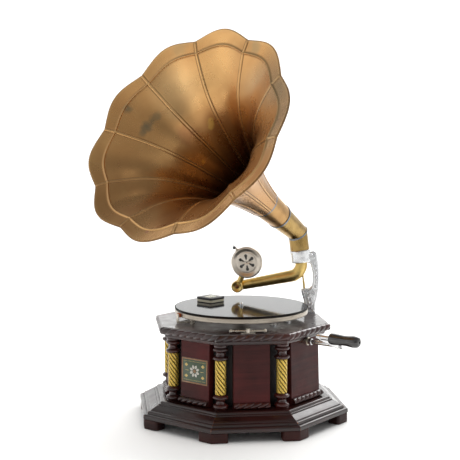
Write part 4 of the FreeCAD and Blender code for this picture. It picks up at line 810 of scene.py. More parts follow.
# turned columns
base_p = [(0, 46.05), (12.0, 46.05), (12.6, 46.6)] + arc(9.6, 51.0, 4.2, -62, 78, 12) + [(10.0, 55.4), (9.0, 55.9)]
base_p += arc(12.6, 59.8, 5.0, 142, 218, 0) if False else []
base_p += [(8.6, 56.6), (8.1, 58.2), (7.9, 59.8), (8.1, 61.4), (8.8, 63.0), (9.6, 63.8), (10.4, 64.0)]
base_p += arc(10.6, 67.2, 3.2, -88, 60, 12) + [(11.4, 70.6), (10.6, 71.2), (9.9, 71.75), (0, 71.75)]
cap_p = [(0, 133.45), (10.2, 133.45), (11.2, 133.8)] + arc(10.6, 137.0, 3.1, -70, 84, 12)
cap_p += [(10.2, 140.4), (9.0, 140.9), (8.3, 142.4), (7.9, 144.8), (8.3, 147.0), (9.4, 148.8), (10.4, 149.2)]
cap_p += arc(10.4, 152.6, 3.2, -86, 70, 12) + [(11.0, 156.0), (10.6, 156.6), (11.8, 157.0), (12.2, 157.8), (12.2, 160.4), (11.8, 160.95), (0, 160.95)]
bases, caps, twist = Shape(), Shape(), Shape()
for a in COL_AZ:
    o = az_pt(a, 142.0)
    v, f = lathe(base_p, 56, (o, np.eye(3)))
    bases.add(v, f)
    v, f = lathe(cap_p, 56, (o, np.eye(3)))
    caps.add(v, f)
    # shaft carved as a rope of eight strands, each with a fine line along it
    nz, na = 150, 112
    zs = np.linspace(71.85, 133.35, nz)
    az_ = np.linspace(0, 2 * np.pi, na, endpoint=False)
    Z, A = np.meshgrid(zs, az_, indexing="ij")
    wob = 0.10 * np.sin(3 * A + Z * 0.21 + a) + 0.06 * np.sin(7 * A - Z * 0.5)
    u = 8 * A / (2 * np.pi) + Z / 8.9 + wob * 0.5
    w = u - np.floor(u)
    lobe = np.sqrt(np.clip(1 - (2 * w - 1) ** 2 * 0.985, 0, 1))
    line = np.exp(-((w - 0.5) / 0.07) ** 2)
    r = 6.75 + 2.9 * np.clip(lobe * 1.12, 0, 1) - 0.32 * line
    end = np.clip(np.minimum(Z - 71.85, 133.35 - Z) / 1.2, 0, 1)
    r = 7.6 + (r - 7.6) * (0.4 + 0.6 * end)
    # azimuth runs from -Y towards +X
    v = np.stack([o[0] + r * np.sin(A), o[1] - r * np.cos(A), Z], -1).reshape(-1, 3)
    f = grid_faces(nz, na, False, True)
    f.append(tuple(range(na)))
    f.append(tuple((nz - 1) * na + i for i in range(na))[::-1])
    # cavity values for painted shade in the hollows between strands and along the fine line
    twist.add(v, f, cav=np.clip(1.45 * (1 - lobe) + 0.22 * line, 0, 1).reshape(-1))
bases.make("column_feet", M_TURNED, "cabinet", ["column_bases"], "carved_wood", 40)
caps.make("column_heads", M_TURNED, "cabinet", ["column_capitals"], "carved_wood", 40)
twist.make("column_shafts", M_GILT, "cabinet", ["column_twists"], "gilt", 60)


# front plaque: painted field in a plain border, with a rosette and bands of dots
def on_wall(pts, off):
    p = np.asarray(pts, float)
    ap = np.array([wall_ap(z) for z in p[:, 1]]) + off
    return np.stack([p[:, 0], -ap, p[:, 1]], 1)


def wall_plate(outline, off0, off1, bevel=0.0):
    v, f = plate(outline, 0.0, 1.0, bevel, 1)
    w = np.array([wall_ap(z) for z in v[:, 1]]) + off0 + v[:, 2] * (off1 - off0)
    return np.stack([v[:, 0], -w, v[:, 1]], 1), f


def rect(x0, z0, x1, z1, r=0.0, n=4):
    p = [(x0, z0), (x1, z0), (x1, z1), (x0, z1)]
    return round_poly(p, r, n) if r else p


field = Shape()
field.add(*wall_plate(rect(-29.9, 84.1, 29.9, 129.9, 1.2), 0.05, 0.7))
field.make("plaque_ground", M_GROUND, "cabinet", ["front_plaque"], "plaque", 40)
field = Shape()
field.add(*wall_plate(rect(-26.4, 87.4, 26.4, 126.6, 0.8), 0.55, 0.95, 0.15))
field.make("plaque_field", M_GREEN, "cabinet", ["front_plaque"], "plaque", 40)
edge = Shape()
for q in (rect(-29.4, 84.6, 29.4, 87.0, 0.3), rect(-29.4, 127.0, 29.4, 129.4, 0.3), rect(-29.4, 87.05, -26.9, 126.95, 0.3), rect(26.9, 87.05, 29.4, 126.95, 0.3)):
    edge.add(*wall_plate(q, 0.5, 1.3, 0.3))
edge.make("plaque_border", M_FRAME, "cabinet", ["front_plaque"], "plaque", 40)
gold = Shape()
for x in np.linspace(-24, 24, 17):
    for z in (90.2, 123.8):
        gold.add(*wall_plate([(x + 0.62 * math.cos(rad(a)), z + 0.62 * math.sin(rad(a))) for a in range(0, 360, 45)], 0.9, 1.25, 0.12))
for sx in (-1, 1):
    for cz in (97.0, 117.0):
        cx = 19.0 * sx
        gold.add(*wall_plate(round_poly([(cx - 4.2, cz), (cx, cz - 3.2), (cx + 4.2, cz), (cx, cz + 3.2)], 0.6, 3), 0.9, 1.25, 0.2))
    gold.add(*wall_plate(round_poly([(14 * sx, 106.5), (19 * sx, 107.0), (23.5 * sx, 107.0), (19 * sx, 107.6), (14 * sx, 107.5)], 0.2, 2), 0.9, 1.2, 0.1))
gold.make("plaque_gold", M_GOLDLINE, "cabinet", ["front_plaque"], "plaque", 40)
rose = Shape()
for k in range(8):
    a = 45.0 * k + 22.5
    pet = [(4.0, 0.0), (5.6, 1.9), (8.2, 2.5), (10.6, 1.2), (11.4, 0.0), (10.6, -1.2), (8.2, -2.5), (5.6, -1.9)]
    pts = [(x * math.cos(rad(a)) - y * math.sin(rad(a)), 107.0 + x * math.sin(rad(a)) + y * math.cos(rad(a))) for x, y in pet]
    rose.add(*wall_plate(round_poly(pts, 0.8, 3), 0.9, 1.32, 0.2))
rose.make("plaque_rosette", M_CREAM, "cabinet", ["front_plaque"], "plaque", 40)
eye = Shape()
eye.add(*wall_plate([(3.1 * math.cos(rad(a)), 107.0 + 3.1 * math.sin(rad(a))) for a in range(0, 360, 15)], 0.9, 1.36, 0.3))
eye.make("plaque_eye", M_FRAME, "cabinet", ["front_plaque"], "plaque", 40)


# ------------------------------------------------------------------ horn
PETALS, SEAM_PHASE = 10, -2.1
NOTCH_R, TIP_R, TIP_DT, SHEET, BULGE = 189.4, 202.0, 4.6, 1.1, 8.4


BELL = [(130, 27.3), (155, 31.2), (180, 36.2), (200, 41.2), (222, 48.2), (245, 57.0), (268, 67.0), (290, 78.0), (310, 90.0), (328, 103.5), (342, 117.0), (353, 130.0), (362, 142.0), (370, 153.5), (379.2, 167.0)]
BELL_T, BELL_R = np.array(BELL, float).T
BELL_D = np.diff(BELL_T)
BELL_G = np.diff(BELL_R) / BELL_D
BELL_S = np.concatenate([[0.150], (BELL_G[:-1] * BELL_D[1:] + BELL_G[1:] * BELL_D[:-1]) / (BELL_D[1:] + BELL_D[:-1]), [1.48]])


def bell_r(t):
    t = np.clip(np.asarray(t, float), BELL_T[0], BELL_T[-1])
    k = np.clip(np.searchsorted(BELL_T, t, side="left") - 1, 0, len(BELL_T) - 2)
    d = BELL_D[k]
    u = (t - BELL_T[k]) / d
    return (1 + 2 * u) * (1 - u) ** 2 * BELL_R[k] + u * (1 - u) ** 2 * d * BELL_S[k] + u * u * (3 - 2 * u) * BELL_R[k + 1] + u * u * (u - 1) * d * BELL_S[k + 1]


CREASE_T = HORN_L - 8.0
CREASE_R = float(bell_r(CREASE_T))
ROLL = 1.75


def horn_profile():
    ts = np.concatenate([np.linspace(130.2, 200, 26), np.linspace(203, 340, 48), np.linspace(342.0, CREASE_T - 2.6, 24)])
    rs = bell_r(ts)
    pts = np.stack([ts, rs], 1)
    # flange beyond the crease
    rf = np.linspace(CREASE_R + 2.2, NOTCH_R - ROLL, 16)
    g = (rf - CREASE_R) / (NOTCH_R - CREASE_R)
    tf = CREASE_T + 8.0 * g ** 1.08
    mid = np.array([(CREASE_T - 1.6, float(bell_r(CREASE_T - 1.6))), (CREASE_T - 0.7, float(bell_r(CREASE_T - 0.7))), (CREASE_T - 0.05, CREASE_R + 0.1), (CREASE_T + 0.35, CREASE_R + 1.1)])
    return np.vstack([pts, mid, np.stack([tf, rf], 1)])


hp = horn_profile()
# more rows where the sheet is folded
dense = smooth_line(hp, 8)
dl_ = np.concatenate([[0], np.cumsum(np.hypot(*np.diff(dense, axis=0).T))])
s_cr = float(dl_[int(np.argmin(np.abs(dense[:, 1] - CREASE_R)))])
s_hp = np.concatenate([[0], np.cumsum(np.hypot(*np.diff(hp, axis=0).T))])
s_new = np.concatenate([s_hp[s_hp < s_cr - 5.0], np.linspace(s_cr - 4.8, s_cr + 5.8, 36), s_hp[(s_hp > s_cr + 6.2)]])
s_new[-1] = dl_[-1]
hp = np.stack([np.interp(s_new, dl_, dense[:, 0]), np.interp(s_new, dl_, dense[:, 1])], 1)
NR = len(hp)
arc_len = np.concatenate([[0], np.cumsum(np.hypot(*np.diff(hp, axis=0).T))])
i_cr = int(np.argmin(np.abs(hp[:, 1] - CREASE_R)))
f_b = np.clip((hp[:, 1] - 27.3) / (CREASE_R - 27.3), 0, 1)
g_b = np.clip((hp[:, 1] - CREASE_R) / (NOTCH_R - CREASE_R), 0, 1)
bul = BULGE * f_b ** 1.15 + (TIP_R - NOTCH_R - BULGE) * g_b
bdt = TIP_DT * g_b
hw = 2.5 + 1.0 * np.clip((hp[:, 1] - 25) / 60, 0, 1)

DS = [0.0, 0.10, 0.20, 0.32, 0.50, 0.68, 0.82, 0.94, 1.06, 1.18, 1.36, 1.65]
NF = 9
half_cols = [("d", d) for d in DS] + [("f", (k + 1) / NF) for k in range(NF)]          # seam to petal middle
cols = [(c, +1) for c in half_cols] + [(c, -1) for c in half_cols[-2:0:-1]]             # and back to the next seam
NC = len(cols)
PH = np.zeros((NR, NC))       # angle from the petal's first seam, radians
DD = np.zeros((NR, NC))       # distance from the nearest seam in strip half widths
step = rad(36.0)
for j, ((kind, val), sgn) in enumerate(cols):
    ds = np.minimum(1.65 * hw / hp[:, 1], rad(15.0))
    if kind == "d":
        dl = np.minimum(val * hw / hp[:, 1], rad(15.0) * val / 1.65)
    else:
        dl = ds + (rad(18.0) - ds) * val
    DD[:, j] = dl * hp[:, 1] / hw
    PH[:, j] = dl if sgn > 0 else step - dl
phi = np.degrees(PH) - 18.0
S = 0.4 * (1 - (phi / 18.0) ** 2) + 0.3 * (1 + np.cos(np.pi * phi / 18.0))
RR = hp[:, 1][:, None] + bul[:, None] * S
TT = hp[:, 0][:, None] + bdt[:, None] * S
full_r = np.tile(RR, (1, PETALS))
full_t = np.tile(TT, (1, PETALS))
full_d = np.tile(DD, (1, PETALS))
full_a = np.concatenate([PH + rad(SEAM_PHASE) + step * k for k in range(PETALS)], 1)
X, Y = full_r * np.cos(full_a), full_r * np.sin(full_a)
P = np.stack([X, Y, full_t], -1)
dU = np.gradient(P, axis=0)
dV = (np.roll(P, -1, 1) - np.roll(P, 1, 1))
Nn = np.cross(dU, dV)
Nn /= np.linalg.norm(Nn, axis=2)[..., None]
inward = -np.stack([np.cos(full_a), np.sin(full_a), 0 * full_a], -1) + np.array([0, 0, 0.6])
Nn *= np.sign((Nn * inward).sum(2))[..., None]      # towards the inside and the mouth


def seam_lift(d):
    # folded seam: a flat ridge with a groove along each side
    d = np.abs(d)
    return np.exp(-(d / 0.66) ** 6) - 0.10 * np.exp(-(d / 0.14) ** 2) - 0.22 * np.exp(-((d - 0.94) / 0.16) ** 2)


s_arc = arc_len[:, None]
q_cr = s_arc - arc_len[i_cr]
# bead where bell and flange meet: short rise on the bell's side, longer fall outwards
cre = np.where(q_cr < 0, np.exp(-(q_cr / 0.95) ** 2), np.exp(-(q_cr / 2.1) ** 2))
cre_g = np.exp(-((q_cr + 2.3) / 0.9) ** 2)
fade = np.clip((arc_len[-1] - s_arc) / 3.0, 0.35, 1)
lift_in = np.maximum(1.1 * seam_lift(full_d) * fade, 1.9 * cre - 0.18 * cre_g)
lift_in = np.where(1.9 * cre > 0.02, lift_in, 1.1 * seam_lift(full_d) * fade)
lift_out = 1.1 * seam_lift(full_d) * fade + 0.35 * cre
# small dents and waves left by hand beating
rng = np.random.default_rng(7)
wave = np.zeros_like(full_r)
for _ in range(26):
    a0, t0_, wa, wt = rng.uniform(0, 2 * np.pi), rng.uniform(180, 385), rng.uniform(0.05, 0.14), rng.uniform(8, 22)
    da = np.angle(np.exp(1j * (full_a - a0)))
    wave += rng.uniform(-0.5, 0.5) * np.exp(-(da / wa) ** 2 - ((full_t - t0_) / wt) ** 2)
Pin = P + Nn * (lift_in + wave)[..., None]
Pout = P - Nn * (SHEET + lift_out - wave)[..., None]
along = np.tile(np.clip((hp[:, 0] - 100) / 287.0, 0, 1)[:, None], (1, NC * PETALS))
# painted shade in the grooves beside each seam, painted highlight along the seam's top
seam_shade_sheen = np.exp(-((np.abs(full_d) - 0.90) / 0.20) ** 2) * 0.95 - 0.35 * np.exp(-(full_d / 0.42) ** 4)
# inside: painted shade in the groove by the crease, painted highlight on the crease bead and on the last rows at the
# rim's inner edge
in_shade_sheen = np.clip(seam_shade_sheen + 0.40 * cre_g - 0.45 * cre, -0.6, 1)
in_shade_sheen[-3:] -= np.array([[0.10], [0.25], [0.15]])
out_shade_sheen = np.clip(seam_shade_sheen, -0.6, 1)
# rolled rim
e_dir = P[-1] - P[-2]
e_dir /= np.linalg.norm(e_dir, axis=1)[:, None]
nb = -Nn[-1]
cen = P[-1] + nb * ROLL
roll_rows = []
for k in range(1, 13):
    a = rad(-90 + 270.0 * k / 12)
    roll_rows.append(cen + ROLL * (math.cos(a) * e_dir + math.sin(a) * nb))
rows = list(Pin) + roll_rows + list(Pout[::-1][2:])
nrow = len(rows)
nroll = len(roll_rows)
v = np.concatenate(rows)
al = np.concatenate([along.reshape(-1), np.ones(nroll * NC * PETALS), np.full_like(along[::-1][2:], 1.2).reshape(-1)])
# painted shade: a dark outline round the rolled rim
roll_shade = np.repeat(np.array([0.60, 0.95, 1.00, 1.00, 1.00, 0.85, 0.80, 0.80, 0.75, 0.75, 0.70, 0.65]), NC * PETALS)
shade_sheen_rows = np.concatenate([in_shade_sheen.reshape(-1), roll_shade, out_shade_sheen[::-1][2:].reshape(-1)])
faces = grid_faces(nrow, NC * PETALS, True, True)
build("horn_bell", to_world(HORN, v), faces, M_BRONZE, "horn", ["horn_petals", "horn_seams", "horn_rim_wire"], "horn_bronze", 50, {"along": al, "shade_and_sheen": shade_sheen_rows})

# ------------------------------------------------------------------ turntable
def wobble(profile, seg, fr, amp, seed):
    v, f = lathe(profile, seg, fr, True)
    g = np.random.default_rng(seed)
    n = len(profile)
    w = sum(g.uniform(-1, 1) * np.cos(k * np.arange(seg) * 2 * np.pi / seg + g.uniform(0, 6)) for k in range(3, 16)) / 5.0
    o, ax = fr
    loc = (v - o) @ ax.T
    rr = np.hypot(loc[:, 0], loc[:, 1])
    sc = (rr + amp * np.tile(w, n)) / rr
    loc[:, 0] *= sc
    loc[:, 1] *= sc
    return to_world(fr, loc), f


plat = [(4.2, 188.05), (13.6, 188.05), (14.4, 189.0), (16.2, 200.6), (18.0, 201.4), (119.4, 201.4), (120.8, 200.4), (121.0, 195.2), (121.5, 194.75), (123.2, 194.75)]
plat += arc(123.3, 195.7, 1.0, -90, 0, 5) + [(124.3, 199.2), (124.05, 199.5), (124.05, 199.8), (124.3, 200.1)] + arc(123.3, 202.3, 1.0, 0, 90, 5) + [(122.3, 203.4), (122.1, 204.7), (118.0, 204.7), (4.2, 204.7)]
build("platter_rim", *lathe(plat, 256, WORLD, True), M_RIM, "turntable", ["platter"], "nickel", 30)
felt = [(3.8, 204.75), (121.4, 204.75), (122.0, 205.0), (121.6, 205.5), (3.8, 205.55)]
build("felt_disc", *lathe(felt, 192, WORLD, True), M_FELT, "turntable", ["felt_mat"], "felt", 40)
disc = [(3.6, 205.65), (124.1, 205.65)] + arc(124.25, 206.3, 0.62, -80, 80, 8) + [(123.8, 207.2), (122.9, 207.28), (122.0, 207.28)]
disc += [(r, 207.28) for r in (110.0, 95.0, 80.0, 65.0, 50.0, 35.0, 20.0, 8.0)] + [(3.9, 207.28), (3.6, 207.1)]
build("record_disc", *lathe(disc, 256, WORLD, True), M_RECORD, "turntable", ["record"], "shellac", 40)
pin = [(0, 203.0), (3.4, 203.0), (3.4, 210.0), (3.3, 211.0), (2.9, 211.9), (1.8, 212.7), (0, 212.95)]
sp = Shape()
sp.add(*lathe(pin, 48, WORLD))
sp.add(*lathe([(0, 88.05), (4.7, 88.05), (5.0, 88.4), (5.0, 199.6), (4.7, 200.0), (0, 200.0)], 48, WORLD))
sp.make("spindle_bar", M_BRIGHT, "turntable", ["spindle"], "nickel", 35)

# needle tin: lid with a paper label, pale lower half
RD = np.array([cl, sl, 0.0])
DD_ = np.array([-sl, cl, 0.0])
TIN = RD * -59.0 + DD_ * 46.0
TIN_A = 45.0 + LEAN_DIR + 3.0
TZ = 207.6


def tin_plate(half, r, z0, z1, bevel):
    v, f = plate(rect(-half, -half, half, half, r, 6), z0, z1, bevel, 3)
    return rot_z(v, TIN_A) + TIN, f


tb = Shape()
tb.add(*tin_plate(19.15, 4.0, TZ, TZ + 5.2, 0.7))
tb.make("tin_base", M_TIN_C, "needle_tin", ["needle_tin_base"], "tin_cream", 40)
tb = Shape()
tb.add(*tin_plate(19.3, 4.1, TZ, TZ + 0.9, 0.3))
tb.add(*tin_plate(18.85, 3.8, TZ + 4.9, TZ + 5.35, 0.0))
tb.make("tin_base_edge", M_TIN_B, "needle_tin", ["needle_tin_base"], "tin_cream", 40)
tl = Shape()
tl.add(*tin_plate(19.7, 4.4, TZ + 5.3, TZ + 9.75, 1.1))
tl.make("tin_lid", M_TIN_B, "needle_tin", ["needle_tin_lid"], "tin_black", 40)
tlab = Shape()
for a0, a1, b0, b1 in ((-15.5, -15.5, 15.5, -14.9), (-15.5, 14.9, 15.5, 15.5), (-15.5, -14.9, -14.9, 14.9), (14.9, -14.9, 15.5, 14.9), (-9.8, -7.4, 9.8, 7.4)):
    v, f = plate(rect(a0, a1, b0, b1, 0.25 if abs(a0) > 12 else 2.6, 4), TZ + 9.7, TZ + 9.88, 0.05)
    tlab.add(rot_z(v, TIN_A) + TIN, f)
tlab.make("tin_label", M_TIN_C, "needle_tin", ["needle_tin_lid"], "tin_black", 40)
tdot = Shape()
for k in range(8):
    a = rad(45 * k)
    q = [(4.4 * math.cos(a) + 1.15 * math.cos(rad(b)), 4.4 * math.sin(a) + 1.15 * math.sin(rad(b))) for b in range(0, 360, 40)]
    v, f = plate(q, TZ + 9.8, TZ + 9.9, 0.0)
    tdot.add(rot_z(v, TIN_A) + TIN, f)
q = [(2.0 * math.cos(rad(b)), 2.0 * math.sin(rad(b))) for b in range(0, 360, 24)]
v, f = plate(q, TZ + 9.8, TZ + 9.9, 0.0)
tdot.add(rot_z(v, TIN_A) + TIN, f)
tdot.make("tin_dots", M_TIN_B, "needle_tin", ["needle_tin_lid"], "tin_black", 40)

# ------------------------------------------------------------------ crank
def axis_frame(o, z, hint=(0.0, 0.0, 1.0)):
    z = np.asarray(z, float) / np.linalg.norm(z)
    x = np.cross(np.asarray(hint, float), z)
    if np.linalg.norm(x) < 1e-3:
        x = np.cross((1.0, 0, 0), z)
    x /= np.linalg.norm(x)
    return (np.asarray(o, float), np.stack([x, np.cross(z, x), z]))


grip = [(4.2, 237.6), (7.6, 237.6), (8.6, 238.2), (9.0, 239.4), (8.8, 240.6)]
grip = [(4.3, 237.6)] + [tuple(q) for q in smooth_line([(7.4, 237.6), (9.2, 238.8), (9.9, 242.5), (9.6, 249.0), (8.9, 257.0), (8.6, 264.0), (9.0, 272.0), (9.9, 280.0), (10.2, 285.5), (9.3, 290.6), (6.6, 293.9), (3.0, 294.9)], 4)] + [(2.2, 294.9), (2.0, 290.0), (4.3, 288.0)]
build("grip_turned", *lathe(grip, 64, axis_frame((0, -64.4, 183.5), (1, 0, 0)), True), M_GRIP, "grip", ["crank_grip"], "black_grip", 40)

# ------------------------------------------------------------------ bracket: casting with raised scrolls and beads
DEP = float(SWIVEL @ DD_)
BR = (DD_ * DEP, np.stack([RD, np.array([0.0, 0, 1]), -DD_]))
cast_o = [(127.0, 299.5), (139.5, 303.0), (144.5, 300.0), (147.5, 285.0), (149.8, 264.0), (150.4, 244.0), (148.6, 217.0), (144.4, 200.0), (143.0, 182.05),
          (122.5, 182.05), (121.6, 203.0), (116.4, 222.0), (115.2, 229.6), (131.5, 230.4), (136.0, 235.0), (138.2, 246.0), (137.4, 262.0), (133.2, 279.0), (126.0, 280.4)]
cast_r = [2, 4, 4, 20, 40, 40, 30, 20, 0, 0, 16, 14, 2.5, 2.5, 6, 14, 20, 4, 2]
cb = Shape()
v, f = plate(round_poly(cast_o, cast_r, 5), -5.9, 5.9, 2.0, 3)
cb.add(to_world(BR, v), f)
flange = [(115.2, 14.8), (143.8, 14.8), (143.8, -8.6), (138.5, -13.0), (115.2, -13.0)]
v, f = plate(round_poly(flange, 3.0, 4), 0.0, 1.0, 0.0)
fl = np.stack([v[:, 0], 182.05 + v[:, 2] * 3.6, v[:, 1]], 1)
cb.add(to_world(BR, fl), f)
ring_p = [(15.2, 8.6), (19.7, 8.6), (20.4, 8.9), (20.8, 9.6), (20.9, 10.6), (20.9, 18.0), (20.8, 20.2), (20.9, 22.4), (20.9, 29.8), (20.8, 30.9), (20.4, 31.6), (19.7, 31.9), (15.2, 31.9)]
cb.add(*lathe(ring_p, 96, SW, True))
boss_p = [(0, -3.0), (5.5, -3.0), (5.6, 8.6), (5.2, 9.6), (4.6, 10.6), (0, 10.6)]
cb.add(*lathe(boss_p, 40, (to_world(BR, [(133.7, 293.0, 0.0)])[0], BR[1])))


def bead(x, z, a, b, h, rot, side=1):
    n1, n2 = 14, 7
    vs, rings = [], []
    for i in range(n2 + 1):
        t = rad(-20 + 110 * i / n2)
        for k in range(n1):
            q = 2 * math.pi * k / n1
            px, py = a * math.cos(t) * math.cos(q), b * math.cos(t) * math.sin(q)
            vs.append((x + px * math.cos(rad(rot)) - py * math.sin(rad(rot)), z + px * math.sin(rad(rot)) + py * math.cos(rad(rot)), side * (5.75 + h * math.sin(t))))
    f = grid_faces(n2 + 1, n1, False, True)
    f.append(tuple(range(n1)))
    f.append(tuple(n2 * n1 + k for k in range(n1))[::-1])
    return to_world(BR, vs), f


def cord(pts, r, side=1):
    line = smooth_line([(x, z, 0.0) for x, z in pts], 5)
    line[:, 2] = side * 5.85
    n = len(line)
    rr = r * np.clip(np.minimum(np.arange(n), np.arange(n)[::-1]) / 4.0 + 0.45, 0, 1)
    v, f = sweep(line, rr, 10)
    return to_world(BR, v), f


orn = Shape()
for side in (1, -1):
    for pts in ([(131, 298.0), (138, 299.5), (142.0, 297.0), (144.6, 285.0), (147.0, 264.0), (147.6, 244.0), (145.8, 219.0), (141.4, 201.0), (140.0, 189.0)],
                [(131, 283.0), (135.8, 281.0), (140.0, 264.0), (141.0, 246.0), (138.8, 234.0), (133.0, 227.6), (118.5, 227.0), (119.4, 222.0), (124.6, 204.0), (125.6, 189.0)]):
        orn.add(*cord(pts, 1.15, side))
    for x, z, a, b, rot in ((139.6, 290.0, 3.4, 2.2, 70), (140.8, 280.5, 3.6, 1.9, 80), (142.6, 271.5, 3.6, 2.1, 84), (143.6, 262.0, 3.8, 2.2, 88), (144.2, 252.5, 3.6, 2.2, 90), (144.2, 243.5, 3.4, 2.4, 92),
                            (143.4, 234.0, 3.6, 2.6, 100), (131.5, 219.5, 3.2, 2.2, 30), (126.5, 221.0, 2.6, 1.9, 150), (129.0, 212.0, 3.6, 2.1, 70), (134.5, 209.5, 3.4, 2.0, 120), (131.0, 202.5, 3.0, 2.2, 90), (136.2, 200.0, 2.6, 1.9, 60), (130.0, 194.0, 2.8, 1.8, 20), (135.6, 192.0, 2.4, 1.8, 100)):
        orn.add(*bead(x, z, a, b, 1.5, rot, side))
    for cx, cz, r0, turn, a0 in ((121.8, 222.6, 2.6, 420, 0), (142.2, 225.0, 2.8, 400, 180), (133.4, 287.6, 2.4, 380, 90)):
        pts = []
        for k in range(15):
            q = k / 14
            a = rad(a0 + turn * q)
            pts.append((cx + r0 * (1.15 - q) * math.cos(a), cz + r0 * (1.15 - q) * math.sin(a)))
        orn.add(*cord(pts, 0.75, side))
# bosses and scrolls down the outer edge
edge_line = smooth_line([(147.2, 284.5), (149.4, 264.0), (150.0, 244.0), (148.3, 217.5), (144.2, 201.0)], 12)
for i in range(2, len(edge_line) - 1, 4):
    x, z = edge_line[i]
    d = edge_line[min(i + 1, len(edge_line) - 1)] - edge_line[i - 1]
    for hh in (-2.2, 2.2):
        n1, n2 = 10, 6
        vs = []
        for a in range(n2 + 1):
            t = rad(-20 + 110 * a / n2)
            for k in range(n1):
                q = 2 * math.pi * k / n1
                vs.append((x - 0.9 + 1.3 * math.sin(t), z + 2.5 * math.cos(t) * math.cos(q), hh + 1.7 * math.cos(t) * math.sin(q)))
        ff_ = grid_faces(n2 + 1, n1, False, True)
        ff_.append(tuple(range(n1)))
        ff_.append(tuple(n2 * n1 + k for k in range(n1))[::-1])
        orn.add(to_world(BR, vs), ff_)
cb.make("bracket_body", M_ALLOY, "cabinet", ["bracket_casting"], "cast_alloy", 34)
orn.make("bracket_scrolls", M_ALLOY, "cabinet", ["bracket_casting"], "cast_alloy", 50)

# ------------------------------------------------------------------ tone arm
ARM_R = 11.6
corner = np.array([0.0, 0, -15.0])
end = ARM_END - KT * 5.4
d0, d1 = np.array([0.0, 0, -1]), end - corner
L1 = np.linalg.norm(d1)
d1 /= L1
ang = math.acos(d0 @ d1)
RB = 25.0
tl_ = RB * math.tan(ang / 2)
nrm = d1 - d0 * (d0 @ d1)
nrm /= np.linalg.norm(nrm)
path = [np.array([0, 0, 10.3]), np.array([0, 0, 10.0])]
cen_b = corner - d0 * tl_ + nrm * RB
for k in range(29):
    a = ang * k / 28
    path.append(cen_b + RB * (-nrm * math.cos(a) + d0 * math.sin(a)))
bend_n = len(path)
for k in range(1, 25):
    path.append(corner + d1 * (tl_ + (L1 - 2.0 - tl_) * k / 24))
path = np.array(path)
run = np.concatenate([[0], np.cumsum(np.linalg.norm(np.diff(path, axis=0), axis=1))])
radii = ARM_R - (ARM_R - 9.2) * np.clip((run - 40) / (run[-1] - 40), 0, 1)
radii[0] = ARM_R - 0.4
arm = Shape()
v, f = sweep(path, radii, 64)
arm.add(to_world(SW, v), f)
arm.add(*lathe([(0, -11.0), (10.2, -11.0), (11.1, -10.6), (11.55, -9.8), (11.55, -0.6), (11.2, -0.1), (0, -0.1)], 64, KN))
arm.make("arm_tube", M_BRASS, "tonearm", ["tonearm_tube"], "brass", 40)
build("arm_pin", *lathe([(0, -47.3), (1.8, -47.3), (2.1, -46.8), (2.1, -30.0), (1.7, -29.2), (1.6, -21.0), (1.9, -20.4), (1.9, -15.0), (0, -15.0)], 24, SW), M_BRASS, "tonearm", ["tonearm_pivot_pin"], "brass", 35)
build("arm_screw", *lathe([(0, 9.0), (3.3, 9.0), (3.5, 10.6), (3.2, 11.6), (2.2, 12.2), (1.0, 12.3), (0.8, 11.8), (0, 11.8)], 32, KN), M_PADMETAL, "tonearm", ["flip_screw"], "screw_steel", 35)

# ------------------------------------------------------------------ gooseneck and sound box
BOX_P, BOX_Q, NEEDLE = 28.0, 47.8, 122.7
bc = to_world(KN, [(BOX_P, BOX_Q, 0.0)])[0]
BX = (bc, KN[1])
gn = Shape()
gn.add(*lathe([(0, 0.5), (11.0, 0.5), (11.5, 1.0), (11.55, 9.6), (11.3, 10.9), (10.6, 12.0), (9.6, 12.6), (8.6, 12.4), (7.2, 11.3), (5.4, 10.4), (3.8, 10.0), (0, 9.9)], 64, KN))
bd = np.array([BOX_P, BOX_Q, 0.0])
bl = np.linalg.norm(bd)
bd /= bl
npts = [bd * q + np.array([0, 0, 6.2]) for q in np.linspace(6, bl - 6, 14)]
for k in range(1, 11):
    a = rad(9.0 * k)
    npts.append(bd * (bl - 6 + 6 * math.sin(a)) + np.array([0, 0, 6.2 + 6 * (1 - math.cos(a))]))
npts += [bd * bl + np.array([0, 0, 13.0])]
nr_ = [5.5] * len(npts)
nr_[0] = 6.6
nr_[1] = 6.0
v, f = sweep(npts, nr_, 40)
gn.add(to_world(KN, v), f)
gn.add(*lathe([(0, 11.2), (6.8, 11.2), (7.4, 11.7), (7.4, 13.2), (6.9, 13.6), (0, 13.6)], 40, BX))
gn.make("neck", M_BRASS, "soundbox", ["gooseneck"], "brass", 40)
back = [(4.6, 13.9), (8.8, 13.9), (9.6, 14.4), (10.2, 15.1), (27.6, 15.1), (29.2, 15.5), (29.9, 16.6), (29.9, 18.6), (29.3, 19.0), (29.3, 19.5), (29.9, 19.9), (30.0, 23.6), (28.0, 23.7), (28.0, 17.2), (4.6, 17.2)]
build("box_back", *lathe(back, 96, BX, True), M_BOX, "soundbox", ["soundbox_back"], "nickel", 30)
front = [(18.6, 23.6), (18.6, 24.6), (19.4, 24.15), (20.6, 24.1), (22.0, 24.4), (23.8, 25.3), (25.2, 26.2), (26.4, 26.9), (27.5, 27.3), (28.6, 27.25), (29.7, 26.6), (30.4, 25.5), (30.55, 24.6), (30.0, 23.85), (28.4, 23.75), (24.0, 23.3), (19.0, 23.3)]
build("box_rim", *lathe(front, 128, BX, True), M_BOX, "soundbox", ["soundbox_front"], "nickel", 30)


